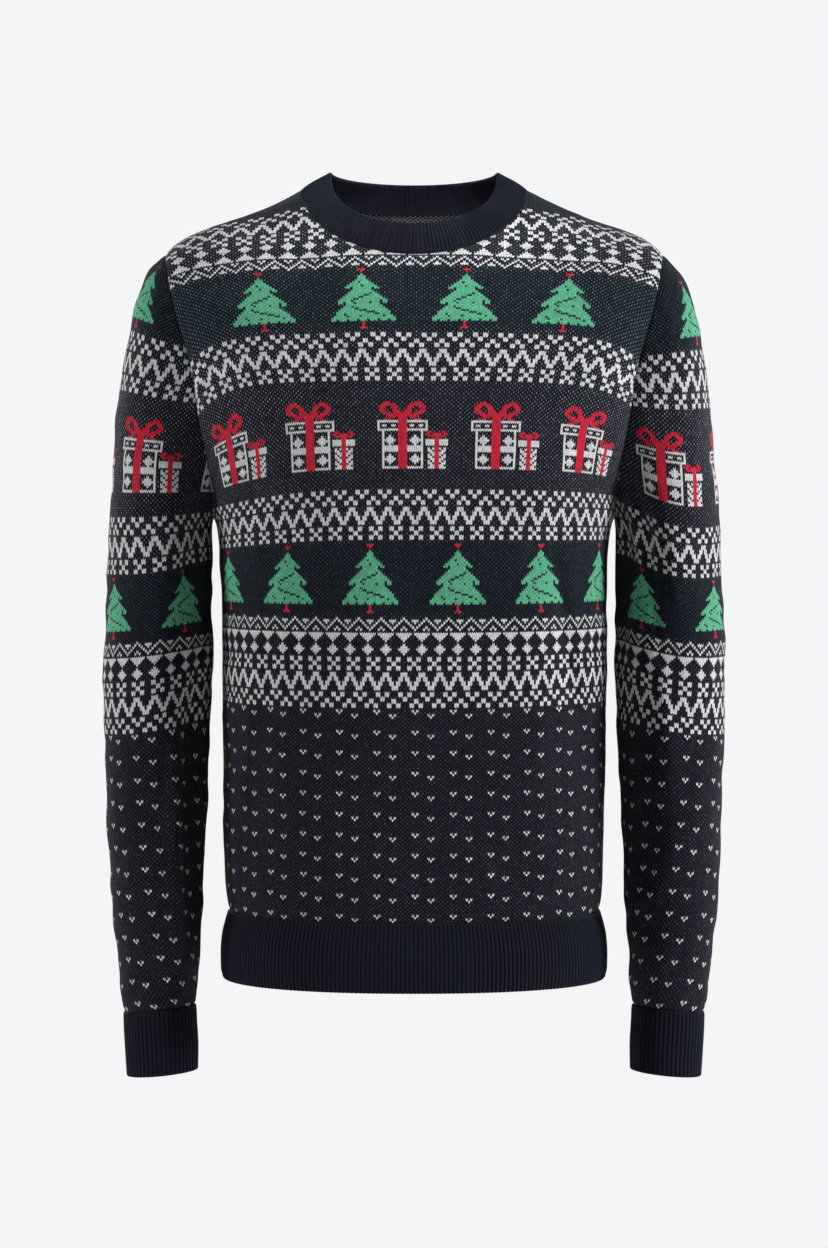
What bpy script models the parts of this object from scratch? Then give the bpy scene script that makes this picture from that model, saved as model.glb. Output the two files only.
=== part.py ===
"""Crew-neck jacquard sweater, hollow, as it hangs filled out on a wearer.

Metres, +Z up, the front faces -Y. The origin is between the shoulders, level with the neck ends of the
shoulder seams, where the wearer holds the sweater up. Every piece is a wall of knitted cloth: a sheet of
points in the middle of the wall, moved out and in by half its thickness. Pieces that are sewn together
share the points of their seam, and each stops half a seam gap short of them.
"""

import bmesh
import bpy
import numpy as np
from mathutils import Vector

# Walls and seams
WALL = 0.0022  # jacquard knit
RIB_WALL = 0.0030  # ribbed bands
SEAM_GAP = 0.0003  # between two pieces that are sewn together
LEAST_CORNER = 0.4  # keeps the move off a seam short where the seam turns a sharp corner
LEAST_SEAM_COSINE = 0.6  # a seam's wall grows by at most the inverse of this where pieces meet at an angle
LIKE_NORMALS = 0.9  # pieces whose normals agree this well at a seam count once in their mean
SHARP_ANGLE = 50  # degrees between faces past which an edge is drawn sharp
SPLIT_WAY = Vector((0.31, 0.43, 0.85))  # any slanted direction: the way in which edge faces are split

# Body
HEM_SEAM = -0.6205  # height of the seam at the sides
HEM_DROOP = 0.0040  # how much lower front and back hang than the sides
ARMPIT = -0.2790
ROUNDNESS = 2.3  # exponent of the body's sections: 2 is an ellipse, more is squarer
BODY_ROWS_BELOW = 10  # rows of cloth from the hem seam to the armpit
ROW_EASE = 0.85  # under 1 packs those rows a little closer near the armpit
BODY_ROWS_ABOVE = 10  # from the armpit to the shoulder seam, and half of the sleeve's points round

# Shoulders and neck
SHOULDER_TIP_X = 0.2140
NECK_HALF_WIDTH = 0.0965  # at the band's seam
NECK_FRONT_DROP = 0.0640
NECK_BACK_DROP = 0.0120
NECK_CROWN = 0.0200  # the height that the shoulder slopes would reach at the middle
ROLL_AT_NECK = 0.2000  # how far below the shoulder seam the cloth takes to reach its full depth
ROLL_AT_TIP = 0.0750
NECK_COLUMNS = 5  # columns of cloth from the middle to the neck's corner
SHOULDER_COLUMNS = 6  # columns from there to the armhole

# Neckband
BAND_HALF_WIDTH = 0.0724  # of the opening
BAND_FRONT_Y = -0.0820
BAND_BACK_Y = 0.0700
BAND_FRONT_TOP = -0.0380
BAND_SIDE_TOP = 0.0160
BAND_BACK_TOP = 0.0130
BAND_CURVE = 0.0020  # how far the band's middle bows out
BAND_DIP = 0.8  # exponent of the opening's dip from its sides to its front: less is squarer
BAND_ROWS = 4

# The body's sections, from the hem seam up. Over the armpit the half width is that of the whole round,
# which the armhole cuts off at the widths of the next table.
BODY_COLUMNS = ("height", "half_width", "front_depth", "back_depth")
BODY_SECTIONS = (
    (-0.6205, 0.1588, 0.1110, 0.1050),
    (-0.6050, 0.1608, 0.1145, 0.1070),
    (-0.5600, 0.1628, 0.1180, 0.1080),
    (-0.5000, 0.1638, 0.1205, 0.1080),
    (-0.4400, 0.1645, 0.1230, 0.1090),
    (-0.3600, 0.1650, 0.1250, 0.1120),
    (-0.3200, 0.1660, 0.1260, 0.1145),
    (-0.3000, 0.1678, 0.1265, 0.1155),
    (-0.2860, 0.1702, 0.1268, 0.1165),
    (-0.2790, 0.1728, 0.1270, 0.1170),
    (-0.2650, 0.1750, 0.1270, 0.1180),
    (-0.2350, 0.1845, 0.1270, 0.1190),
    (-0.2000, 0.1960, 0.1266, 0.1210),
    (-0.1590, 0.2050, 0.1252, 0.1220),
    (-0.1330, 0.2132, 0.1240, 0.1232),
    (-0.1050, 0.2242, 0.1222, 0.1250),
    (-0.0800, 0.2328, 0.1200, 0.1275),
    (-0.0550, 0.2410, 0.1175, 0.1310),
    (0.0000, 0.2410, 0.1120, 0.1390),
)

ARMHOLE_COLUMNS = ("height", "half_width")
ARMHOLE = (
    (-0.2790, 0.1728),
    (-0.2650, 0.1733),
    (-0.2350, 0.1765),
    (-0.2000, 0.1829),
    (-0.1590, 0.1890),
    (-0.1330, 0.1955),
    (-0.1050, 0.2036),
    (-0.0800, 0.2094),
    (-0.0550, 0.2140),
)

# The shoulder seam from the neck's corner to the tip
SLOPE_COLUMNS = ("half_width", "height")
SHOULDER = (
    (0.0965, 0.0000),
    (0.1210, -0.0125),
    (0.1500, -0.0245),
    (0.1780, -0.0335),
    (0.1950, -0.0405),
    (0.2060, -0.0475),
    (0.2140, -0.0550),
)

HEM_SECTIONS = (
    (-0.6205, 0.1588, 0.1110, 0.1050),
    (-0.6290, 0.1612, 0.1130, 0.1068),
    (-0.6420, 0.1642, 0.1155, 0.1092),
    (-0.6560, 0.1652, 0.1165, 0.1100),
    (-0.6690, 0.1650, 0.1162, 0.1098),
    (-0.6765, 0.1634, 0.1146, 0.1082),
)

# Rings round the right sleeve, from the armhole down: its outer and inner edge as seen from the front,
# its half depth from front to back, and how far forward its middle hangs.
SLEEVE_COLUMNS = ("outer_x", "outer_z", "inner_x", "inner_z", "half_depth", "middle_y")
SLEEVE_RINGS = (
    (0.2140, -0.0550, 0.1728, -0.2790, 0.0570, 0.0000),
    (0.2278, -0.0700, 0.1752, -0.2850, 0.0590, 0.0000),
    (0.2390, -0.0950, 0.1757, -0.2920, 0.0605, 0.0000),
    (0.2473, -0.1300, 0.1757, -0.3010, 0.0615, 0.0000),
    (0.2533, -0.1750, 0.1756, -0.3130, 0.0620, 0.0000),
    (0.2588, -0.2250, 0.1754, -0.3290, 0.0620, -0.0010),
    (0.2624, -0.2800, 0.1752, -0.3520, 0.0615, -0.0020),
    (0.2645, -0.3380, 0.1752, -0.3850, 0.0605, -0.0030),
    (0.2664, -0.4000, 0.1758, -0.4260, 0.0590, -0.0050),
    (0.2664, -0.4600, 0.1770, -0.4740, 0.0570, -0.0070),
    (0.2650, -0.5200, 0.1788, -0.5260, 0.0545, -0.0100),
    (0.2620, -0.5750, 0.1812, -0.5770, 0.0510, -0.0130),
    (0.2582, -0.6250, 0.1838, -0.6240, 0.0465, -0.0160),
    (0.2535, -0.6680, 0.1862, -0.6630, 0.0405, -0.0190),
    (0.2506, -0.6920, 0.1876, -0.6865, 0.0350, -0.0205),
    (0.2478, -0.7065, 0.1888, -0.7005, 0.0295, -0.0215),
)
CUFF_RINGS = (
    (0.2478, -0.7065, 0.1888, -0.7005, 0.0295, -0.0215),
    (0.2474, -0.7200, 0.1882, -0.7140, 0.0290, -0.0220),
    (0.2460, -0.7420, 0.1870, -0.7360, 0.0288, -0.0228),
    (0.2448, -0.7600, 0.1872, -0.7545, 0.0292, -0.0235),
)
SLEEVE_RADIUS = 0.055  # about, to turn a fold's angle into a distance
CAP_RINGS = 6  # rings over which the sleeve goes from the armhole's own line to a plain oval
CLEAR_RINGS_ABOVE = 3  # rings over which folds fade out towards the armhole
CLEAR_RINGS_BELOW = 2  # and towards the cuff

# The largest folds, as soft troughs pressed into the cloth: each runs from its top to its bottom point
FOLD_TAPER = 0.7  # exponent of a fold's rise and fall along its length: less is more sudden at its ends
SEAM_CLEARANCE = 8  # exponent that fades a body's folds out near its side seams: more fades them later
FOLD_COLUMNS = ("top_x", "top_z", "bottom_x", "bottom_z", "half_width", "depth")
FRONT_FOLDS = (
    (-0.136, -0.400, -0.150, -0.570, 0.018, 0.0050),
    (0.128, -0.290, 0.145, -0.520, 0.020, 0.0050),
    (-0.150, -0.245, -0.085, -0.330, 0.018, 0.0035),
)
BACK_FOLDS = (
    (0.120, -0.380, 0.142, -0.580, 0.020, 0.0050),
    (-0.118, -0.300, -0.140, -0.520, 0.019, 0.0045),
    (0.100, -0.500, -0.080, -0.560, 0.022, 0.0040),
)
# On a sleeve the place round it is an angle in degrees: 0 is its outer edge, 90 its front, 180 inside.
SLEEVE_FOLD_COLUMNS = ("top_angle", "top_z", "bottom_angle", "bottom_z", "half_width", "depth")
RIGHT_SLEEVE_FOLDS = (
    (128, -0.230, 95, -0.430, 0.016, 0.0060),
    (100, -0.520, 135, -0.610, 0.014, 0.0045),
    (250, -0.300, 275, -0.450, 0.018, 0.0050),
)
LEFT_SLEEVE_FOLDS = (
    (118, -0.300, 100, -0.560, 0.015, 0.0055),
    (70, -0.500, 120, -0.590, 0.014, 0.0040),
    (240, -0.330, 270, -0.480, 0.018, 0.0050),
)

TINY = 1e-9  # slack for comparing two lengths that should be equal
SAME_PLACE = 6  # decimals of a metre to which two points are the same

# Colours of the yarns, linear
NAVY = (0.016, 0.017, 0.026, 1.0)
RIB_NAVY = (0.013, 0.014, 0.021, 1.0)
YARN_ROUGHNESS = 0.9


def steady_slopes(xs, ys):
    """A slope at each point of a table for a cubic that never overshoots its rows."""
    steps = np.diff(xs)
    rises = np.diff(ys) / steps
    slopes = np.zeros(len(xs))
    slopes[0], slopes[-1] = rises[0], rises[-1]
    same_way = rises[:-1] * rises[1:] > 0
    before, after = rises[:-1][same_way], rises[1:][same_way]
    slopes[1:-1][same_way] = 2 * before * after / (before + after)
    return slopes


def read_table(names, rows, name, at, key=None):
    """The value of one named column, on a smooth line through the rows, where the key column is at."""
    table = np.array(rows)
    xs = np.arange(len(rows)) if key is None else table[:, names.index(key)]
    ys = table[:, names.index(name)]
    slopes = steady_slopes(xs, ys)
    at = np.clip(np.asarray(at, float), xs[0], xs[-1])
    i = np.clip(np.searchsorted(xs, at, "right") - 1, 0, len(xs) - 2)
    step = xs[i + 1] - xs[i]
    t = (at - xs[i]) / step
    return (
        ys[i] * (1 + 2 * t) * (1 - t) ** 2
        + ys[i + 1] * t * t * (3 - 2 * t)
        + step * (slopes[i] * t * (1 - t) ** 2 - slopes[i + 1] * t * t * (1 - t))
    )


def unit(vectors):
    return vectors / np.linalg.norm(vectors, axis=-1, keepdims=True)


def trough(across, along, fold):
    """How deep one fold presses at a place, given there as a distance across it and a part along it."""
    taper = np.clip(np.sin(np.pi * np.clip(along, 0, 1)), 0, 1) ** FOLD_TAPER
    return fold["depth"] * taper * np.exp(-((across / fold["half_width"]) ** 2))


# ---- body ----


def shoulder_height(x):
    """The top of the cloth at a distance from the middle, carried on over the neck for its slope."""
    over_neck = NECK_CROWN * (1 - (np.minimum(np.abs(x), NECK_HALF_WIDTH) / NECK_HALF_WIDTH) ** 2)
    seam = read_table(SLOPE_COLUMNS, SHOULDER, "height", np.abs(x), "half_width")
    return seam + over_neck


def body_point(side, part, height):
    """A point of the body: side is -1 in front and 1 behind, part runs from -1 to 1 across it."""
    full = read_table(BODY_COLUMNS, BODY_SECTIONS, "half_width", height, "height")
    depth_name = "front_depth" if side < 0 else "back_depth"
    depth = read_table(BODY_COLUMNS, BODY_SECTIONS, depth_name, height, "height")
    cut = read_table(ARMHOLE_COLUMNS, ARMHOLE, "half_width", height, "height")
    edge = np.where(height > ARMPIT, np.minimum(cut / full, 1.0), 1.0)
    turn = np.sin(part * np.arcsin(edge))
    x = full * turn
    y = depth * np.maximum(1 - np.abs(turn) ** ROUNDNESS, 0) ** (1 / ROUNDNESS)
    inward = np.clip((np.abs(x) - NECK_HALF_WIDTH) / (SHOULDER_TIP_X - NECK_HALF_WIDTH), 0, 1)
    roll = ROLL_AT_NECK + (ROLL_AT_TIP - ROLL_AT_NECK) * inward
    below = np.clip((shoulder_height(x) - height) / roll, 0, 1)
    y = y * np.sqrt(1 - (1 - below) ** 2)
    droop = HEM_DROOP * np.cos(part * np.pi / 2) * np.clip((ARMPIT - height) / (ARMPIT - HEM_SEAM), 0, 1)
    return np.stack([x, side * y, height - droop], axis=-1)


def column_parts():
    """Where the columns of cloth run, from the left edge of a panel to its right edge."""
    full = BODY_SECTIONS[-1][1]
    span = np.arcsin(SHOULDER_TIP_X / full)
    angles = np.linspace(0, np.pi / 2, NECK_COLUMNS + 1)
    neck = np.arcsin(NECK_HALF_WIDTH * np.sin(angles) / full) / span
    shoulder = np.linspace(neck[-1], 1, SHOULDER_COLUMNS + 1)[1:]
    half = np.concatenate([neck, shoulder])
    return np.concatenate([-half[:0:-1], half])


def top_heights(side, parts):
    """The heights of a panel's top edge: shoulder seam, neckline, shoulder seam."""
    full = BODY_SECTIONS[-1][1]
    x = full * np.sin(parts * np.arcsin(SHOULDER_TIP_X / full))
    drop = NECK_FRONT_DROP if side < 0 else NECK_BACK_DROP
    in_neck = np.abs(x) < NECK_HALF_WIDTH - TINY
    curve = -drop * np.sqrt(np.maximum(1 - (x / NECK_HALF_WIDTH) ** 2, 0))
    seam = read_table(SLOPE_COLUMNS, SHOULDER, "height", np.abs(x), "half_width")
    return np.where(in_neck, curve, seam)


def panel_grid(side, folds):
    parts = column_parts()
    top = top_heights(side, parts)
    grid = []
    for row in np.linspace(0, 1, BODY_ROWS_BELOW + 1)[:-1]:
        height = HEM_SEAM + (ARMPIT - HEM_SEAM) * row**ROW_EASE
        grid.append(body_point(side, parts, np.full(len(parts), height)))
    for turn in np.linspace(0, np.pi, BODY_ROWS_ABOVE + 1):
        rise = (1 - np.cos(turn)) / 2
        grid.append(body_point(side, parts, ARMPIT + (top - ARMPIT) * rise))
    grid = np.array(grid)
    neck_corner = parts[-SHOULDER_COLUMNS - 1]
    grid[-1][np.abs(parts) >= neck_corner - TINY, 1] = 0.0
    clear_of_seams = 1 - np.abs(parts) ** SEAM_CLEARANCE
    for row in folds:
        fold = dict(zip(FOLD_COLUMNS, row))
        top_point = np.array([fold["top_x"], fold["top_z"]])
        line = np.array([fold["bottom_x"], fold["bottom_z"]]) - top_point
        length = np.linalg.norm(line)
        away = grid[:, :, [0, 2]] - top_point
        along = away @ line / length**2
        across = (away[:, :, 0] * line[1] - away[:, :, 1] * line[0]) / length
        grid[:, :, 1] -= side * trough(across, along, fold) * clear_of_seams
    return grid


# ---- sleeves and bands ----


def oval_rings(table, around):
    """Rings of points from a table of ovals, each at the angles given, for the right side."""
    rings = []
    for row in table:
        ring = dict(zip(SLEEVE_COLUMNS, row))
        outer = np.array([ring["outer_x"], ring["middle_y"], ring["outer_z"]])
        inner = np.array([ring["inner_x"], ring["middle_y"], ring["inner_z"]])
        middle, half = (outer + inner) / 2, (outer - inner) / 2
        forward = np.array([0.0, -ring["half_depth"], 0.0])
        rings.append(middle + np.outer(np.cos(around), half) + np.outer(np.sin(around), forward))
    return np.array(rings)


def angles_round():
    """0 at the outer edge, a quarter turn in front, half a turn at the armpit."""
    return np.arange(2 * BODY_ROWS_ABOVE) * np.pi / BODY_ROWS_ABOVE


def armhole_loop(front, back):
    """The right armhole's points in the sleeve's order: top, front, armpit, back."""
    front_edge = front[BODY_ROWS_BELOW:, -1][::-1]
    back_edge = back[BODY_ROWS_BELOW:, -1]
    return np.concatenate([front_edge, back_edge[1:-1]])


def sleeve_grid(armhole, folds):
    around = angles_round()
    grid = oval_rings(SLEEVE_RINGS, around)
    own_line = armhole - grid[0]
    for i in range(CAP_RINGS):
        fade = (1 + np.cos(np.pi * i / CAP_RINGS)) / 2
        grid[i] += own_line * fade
    outward = grid_normals(grid, True)
    ring = np.arange(len(grid))[:, None]
    below_armhole = np.clip(ring / CLEAR_RINGS_ABOVE, 0, 1)
    above_cuff = np.clip((len(grid) - 1 - ring) / CLEAR_RINGS_BELOW, 0, 1)
    clear_of_seams = below_armhole * above_cuff
    for row in folds:
        fold = dict(zip(SLEEVE_FOLD_COLUMNS, row))
        drop = fold["top_z"] - fold["bottom_z"]
        along = (fold["top_z"] - grid[:, :, 2]) / drop
        turn = fold["top_angle"] + (fold["bottom_angle"] - fold["top_angle"]) * np.clip(along, 0, 1)
        off = (np.degrees(around)[None, :] - turn + 180) % 360 - 180
        across = np.radians(off) * SLEEVE_RADIUS
        grid -= outward * (trough(across, along, fold) * clear_of_seams)[:, :, None]
    return grid


def hem_grid(front, back):
    loop = np.concatenate([front[0], back[0][-2:0:-1]])
    parts = column_parts()
    grid = [loop]
    for height, half_width, front_depth, back_depth in HEM_SECTIONS[1:]:
        turn = np.sin(parts * np.pi / 2)
        round_depth = np.maximum(1 - np.abs(turn) ** ROUNDNESS, 0) ** (1 / ROUNDNESS)
        droop = height - HEM_DROOP * np.cos(parts * np.pi / 2)
        front_line = np.stack([half_width * turn, -front_depth * round_depth, droop], axis=-1)
        back_line = np.stack([half_width * turn, back_depth * round_depth, droop], axis=-1)
        grid.append(np.concatenate([front_line, back_line[-2:0:-1]]))
    return np.array(grid)


def neckband_grid(front, back):
    """From the neck's seam up to the opening; the ribs run straight between the two."""
    corner = SHOULDER_COLUMNS
    front_seam = front[-1][corner:-corner]
    back_seam = back[-1][corner:-corner]
    seam = np.concatenate([front_seam, back_seam[-2:0:-1]])
    turn = np.arange(len(seam)) * 2 * np.pi / len(seam) - np.pi / 2
    in_front = np.cos(turn) > 0
    forward = np.abs(np.cos(turn))
    y = np.where(in_front, BAND_FRONT_Y, BAND_BACK_Y) * forward
    drop = np.where(in_front, BAND_SIDE_TOP - BAND_FRONT_TOP, BAND_SIDE_TOP - BAND_BACK_TOP)
    z = BAND_SIDE_TOP - drop * forward**BAND_DIP
    opening = np.stack([BAND_HALF_WIDTH * np.sin(turn), y, z], axis=-1)
    away = unit(seam - seam.mean(axis=0))
    grid = []
    for part in np.linspace(0, 1, BAND_ROWS + 1):
        bow = BAND_CURVE * np.sin(np.pi * part)
        grid.append(seam + (opening - seam) * part + away * bow)
    return np.array(grid)


# ---- from sheets of points to walls of cloth ----


def grid_normals(grid, closed):
    """Unit normals of a sheet of points, out of the garment: its rows go down or up, its points round."""
    if closed:
        along = np.roll(grid, -1, axis=1) - np.roll(grid, 1, axis=1)
    else:
        along = np.gradient(grid, axis=1)
    normals = unit(np.cross(along, np.gradient(grid, axis=0)))
    axis_points = grid.mean(axis=1, keepdims=True)
    if not closed:
        axis_points[:, :, 1] = 0.0
    if np.sum(normals * (grid - axis_points)) < 0:
        normals = -normals
    return normals


def share_seam_normals(sheets):
    """Where sheets have a point in common, gives it one normal: the mean of theirs, like ones once."""
    met = {}
    for sheet in sheets.values():
        for place, normal in zip(sheet["grid"].reshape(-1, 3), sheet["normals"].reshape(-1, 3)):
            met.setdefault(tuple(np.round(place, SAME_PLACE)), []).append(normal.copy())
    for sheet in sheets.values():
        flat = sheet["normals"].reshape(-1, 3)
        scale = np.ones(len(flat))
        for i, place in enumerate(sheet["grid"].reshape(-1, 3)):
            normals = met[tuple(np.round(place, SAME_PLACE))]
            if len(normals) == 1:
                continue
            unlike = []
            for normal in normals:
                if all(normal @ other < LIKE_NORMALS for other in unlike):
                    unlike.append(normal)
            shared = unit(np.sum(unlike, axis=0))
            scale[i] = 1 / max(LEAST_SEAM_COSINE, shared @ flat[i])
            flat[i] = shared
        sheet["normals"] = flat.reshape(sheet["grid"].shape)
        sheet["scale"] = scale.reshape(sheet["grid"].shape[:2])


def off_the_seam(edge, inside, normals, closed):
    """At each point of a sewn edge, the move that takes the steps on both sides of it one unit off."""
    steps = np.roll(edge, -1, axis=0) - edge
    if not closed:
        steps[-1] = steps[-2]
    before = np.roll(steps, 1, axis=0)
    if not closed:
        before[0] = steps[0]
    moves = []
    for step in (steps, before):
        square = unit(np.cross(step, normals))
        moves.append(square * np.sign(np.sum(square * (inside - edge), axis=1))[:, None])
    agree = 1 + np.sum(moves[0] * moves[1], axis=1)
    return (moves[0] + moves[1]) / np.maximum(agree, LEAST_CORNER)[:, None]


def draw_back(sheet):
    """Moves the sewn edges of a sheet half a seam gap away from the seam, square to it."""
    grid, normals = sheet["grid"], sheet["normals"]
    moved = grid.copy()
    for axis, at, inner in sheet["sewn"]:
        place = (at, slice(None)) if axis == 0 else (slice(None), at)
        next_to = (inner, slice(None)) if axis == 0 else (slice(None), inner)
        goes_round = sheet["closed"] and axis == 0
        moved[place] += off_the_seam(grid[place], grid[next_to], normals[place], goes_round) * SEAM_GAP / 2
    sheet["grid"] = moved


def edge_faces(shape, outer_a, inner_a, outer_b, inner_b):
    """Closes one step of a wall's edge with two triangles, split the same way on both sides of a seam."""
    if (outer_a.co + inner_a.co - outer_b.co - inner_b.co).dot(SPLIT_WAY) > 0:
        outer_a, inner_a, outer_b, inner_b = outer_b, inner_b, outer_a, inner_a
    shape.faces.new((outer_a, inner_a, inner_b))
    shape.faces.new((outer_a, inner_b, outer_b))


def wall_object(name, sheet, wall, material):
    """Makes the closed wall: the sheet moved out, the sheet moved in, and the edges between."""
    grid, closed = sheet["grid"], sheet["closed"]
    rows, columns = grid.shape[:2]
    reach = sheet["normals"] * sheet["scale"][:, :, None] * wall / 2
    shape = bmesh.new()
    outer = [[shape.verts.new(point) for point in line] for line in grid + reach]
    inner = [[shape.verts.new(point) for point in line] for line in grid - reach]
    spans = columns if closed else columns - 1
    for i in range(rows - 1):
        for k in range(spans):
            m = (k + 1) % columns
            shape.faces.new((outer[i][k], outer[i][m], outer[i + 1][m], outer[i + 1][k]))
            shape.faces.new((inner[i][k], inner[i + 1][k], inner[i + 1][m], inner[i][m]))
    for k in range(spans):
        m = (k + 1) % columns
        for i in (0, rows - 1):
            edge_faces(shape, outer[i][k], inner[i][k], outer[i][m], inner[i][m])
    if not closed:
        for i in range(rows - 1):
            for k in (0, columns - 1):
                edge_faces(shape, outer[i][k], inner[i][k], outer[i + 1][k], inner[i + 1][k])
    bmesh.ops.recalc_face_normals(shape, faces=shape.faces)
    mesh = bpy.data.meshes.new(name)
    shape.to_mesh(mesh)
    shape.free()
    mesh.shade_smooth()
    mesh.set_sharp_from_angle(angle=np.radians(SHARP_ANGLE))
    mesh.materials.append(material)
    made = bpy.data.objects.new(name, mesh)
    bpy.context.scene.collection.objects.link(made)
    return made


def yarn(name, colour, roughness):
    material = bpy.data.materials.new(name)
    material.use_nodes = True
    shader = material.node_tree.nodes["Principled BSDF"]
    shader.inputs["Base Color"].default_value = colour
    shader.inputs["Roughness"].default_value = roughness
    shader.inputs["Metallic"].default_value = 0.0
    return material


def mirrored(grid):
    return grid * np.array([-1.0, 1.0, 1.0])


def main():
    for old in list(bpy.data.objects):
        bpy.data.objects.remove(old, do_unlink=True)
    front = panel_grid(-1, FRONT_FOLDS)
    back = panel_grid(1, BACK_FOLDS)
    right = sleeve_grid(armhole_loop(front, back), RIGHT_SLEEVE_FOLDS)
    left_armhole = mirrored(armhole_loop(front[:, ::-1], back[:, ::-1]))
    left = mirrored(sleeve_grid(left_armhole, LEFT_SLEEVE_FOLDS))
    cuff = oval_rings(CUFF_RINGS, angles_round())
    # A sewn edge of a sheet: along its rows (0) or its columns (1), which one, and the one next to it
    bottom, top = (0, 0, 1), (0, -1, -2)
    left_edge, right_edge = (1, 0, 1), (1, -1, -2)
    plan = {
        "front_panel": (front, False, (bottom, top, left_edge, right_edge), WALL),
        "back_panel": (back, False, (bottom, top, left_edge, right_edge), WALL),
        "left_sleeve": (left, True, (bottom, top), WALL),
        "right_sleeve": (right, True, (bottom, top), WALL),
        "neckband": (neckband_grid(front, back), True, (bottom,), RIB_WALL),
        "hem_rib": (hem_grid(front, back), True, (bottom,), RIB_WALL),
        "left_cuff": (mirrored(cuff), True, (bottom,), RIB_WALL),
        "right_cuff": (cuff, True, (bottom,), RIB_WALL),
    }
    sheets = {}
    for name, (grid, closed, sewn, _) in plan.items():
        sheets[name] = {
            "grid": grid, "closed": closed, "sewn": sewn, "normals": grid_normals(grid, closed)
        }
    share_seam_normals(sheets)
    jacquard = yarn("jacquard_knit", NAVY, YARN_ROUGHNESS)
    ribbing = yarn("rib_knit", RIB_NAVY, YARN_ROUGHNESS)
    for name, (_, _, _, wall) in plan.items():
        draw_back(sheets[name])
        wall_object(name, sheets[name], wall, ribbing if wall == RIB_WALL else jacquard)


main()
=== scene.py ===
# %% [markdown]
# # A fair isle Christmas sweater
# A crew-neck sweater is a few flat pieces of knitting sewn into tubes: a front, a back, two sleeves, and
# ribbed bands at the neck, the hem and the cuffs. Filled out with no wearer it is a hollow shell of cloth.
# The lesson builds every piece as a thin wall on the form of its solid, gives each point its place in the
# knitting, counted in stitches, and lets one shader read the pattern charts from those stitch numbers.

import math

import bpy
import numpy as np
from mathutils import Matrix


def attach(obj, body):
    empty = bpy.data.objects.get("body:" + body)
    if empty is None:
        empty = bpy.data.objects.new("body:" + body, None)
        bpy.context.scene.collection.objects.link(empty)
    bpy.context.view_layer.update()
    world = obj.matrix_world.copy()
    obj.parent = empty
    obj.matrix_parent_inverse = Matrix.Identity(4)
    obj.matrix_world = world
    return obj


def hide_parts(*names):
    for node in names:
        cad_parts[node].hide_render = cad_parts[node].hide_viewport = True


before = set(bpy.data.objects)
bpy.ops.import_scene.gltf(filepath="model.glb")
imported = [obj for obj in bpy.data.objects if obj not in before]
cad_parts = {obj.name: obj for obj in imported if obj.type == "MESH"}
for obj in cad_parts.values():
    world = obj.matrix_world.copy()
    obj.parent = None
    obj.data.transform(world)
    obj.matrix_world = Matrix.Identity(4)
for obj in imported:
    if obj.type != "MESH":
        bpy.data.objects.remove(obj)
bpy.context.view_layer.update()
print("solids:", sorted(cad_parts))

# %% [markdown]
# ## The cut of the body
# The same short tables as the solids: how wide and how deep the body is at each height, where the armhole
# cuts it, how the shoulder slopes, and the ovals that the sleeves and cuffs pass through. A pattern cutter
# would measure the same things.

# %% Tables of the cut, in metres
WALL, RIB_WALL = 0.0022, 0.0030
HEM_SEAM, HEM_DROOP, ARMPIT = -0.6205, 0.0040, -0.2790
ROUNDNESS, ROW_EASE = 2.3, 0.85
SHOULDER_TIP_X = 0.2140
NECK_HALF_WIDTH, NECK_FRONT_DROP, NECK_BACK_DROP, NECK_CROWN = 0.0965, 0.0640, 0.0120, 0.0200
ROLL_AT_NECK, ROLL_AT_TIP = 0.2000, 0.0750
BAND_HALF_WIDTH, BAND_FRONT_Y, BAND_BACK_Y = 0.0724, -0.0820, 0.0700
BAND_FRONT_TOP, BAND_SIDE_TOP, BAND_BACK_TOP = -0.0380, 0.0160, 0.0130
BAND_CURVE, BAND_DIP = 0.0020, 0.8

BODY_COLUMNS = ("height", "half_width", "front_depth", "back_depth")
BODY_SECTIONS = (
    (-0.6205, 0.1588, 0.1110, 0.1050),
    (-0.6050, 0.1608, 0.1145, 0.1070),
    (-0.5600, 0.1628, 0.1180, 0.1080),
    (-0.5000, 0.1638, 0.1205, 0.1080),
    (-0.4400, 0.1645, 0.1230, 0.1090),
    (-0.3600, 0.1650, 0.1250, 0.1120),
    (-0.3200, 0.1660, 0.1260, 0.1145),
    (-0.3000, 0.1678, 0.1265, 0.1155),
    (-0.2860, 0.1702, 0.1268, 0.1165),
    (-0.2790, 0.1728, 0.1270, 0.1170),
    (-0.2650, 0.1750, 0.1270, 0.1180),
    (-0.2350, 0.1845, 0.1270, 0.1190),
    (-0.2000, 0.1960, 0.1266, 0.1210),
    (-0.1590, 0.2050, 0.1252, 0.1220),
    (-0.1330, 0.2132, 0.1240, 0.1232),
    (-0.1050, 0.2242, 0.1222, 0.1250),
    (-0.0800, 0.2328, 0.1200, 0.1275),
    (-0.0550, 0.2410, 0.1175, 0.1310),
    (0.0000, 0.2410, 0.1120, 0.1390),
)
EDGE_COLUMNS = ("height", "half_width")
ARMHOLE = (
    (-0.2790, 0.1728),
    (-0.2650, 0.1733),
    (-0.2350, 0.1765),
    (-0.2000, 0.1829),
    (-0.1590, 0.1890),
    (-0.1330, 0.1955),
    (-0.1050, 0.2036),
    (-0.0800, 0.2094),
    (-0.0550, 0.2140),
)
SLOPE_COLUMNS = ("half_width", "height")
SHOULDER = (
    (0.0965, 0.0000),
    (0.1210, -0.0125),
    (0.1500, -0.0245),
    (0.1780, -0.0335),
    (0.1950, -0.0405),
    (0.2060, -0.0475),
    (0.2140, -0.0550),
)
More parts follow.
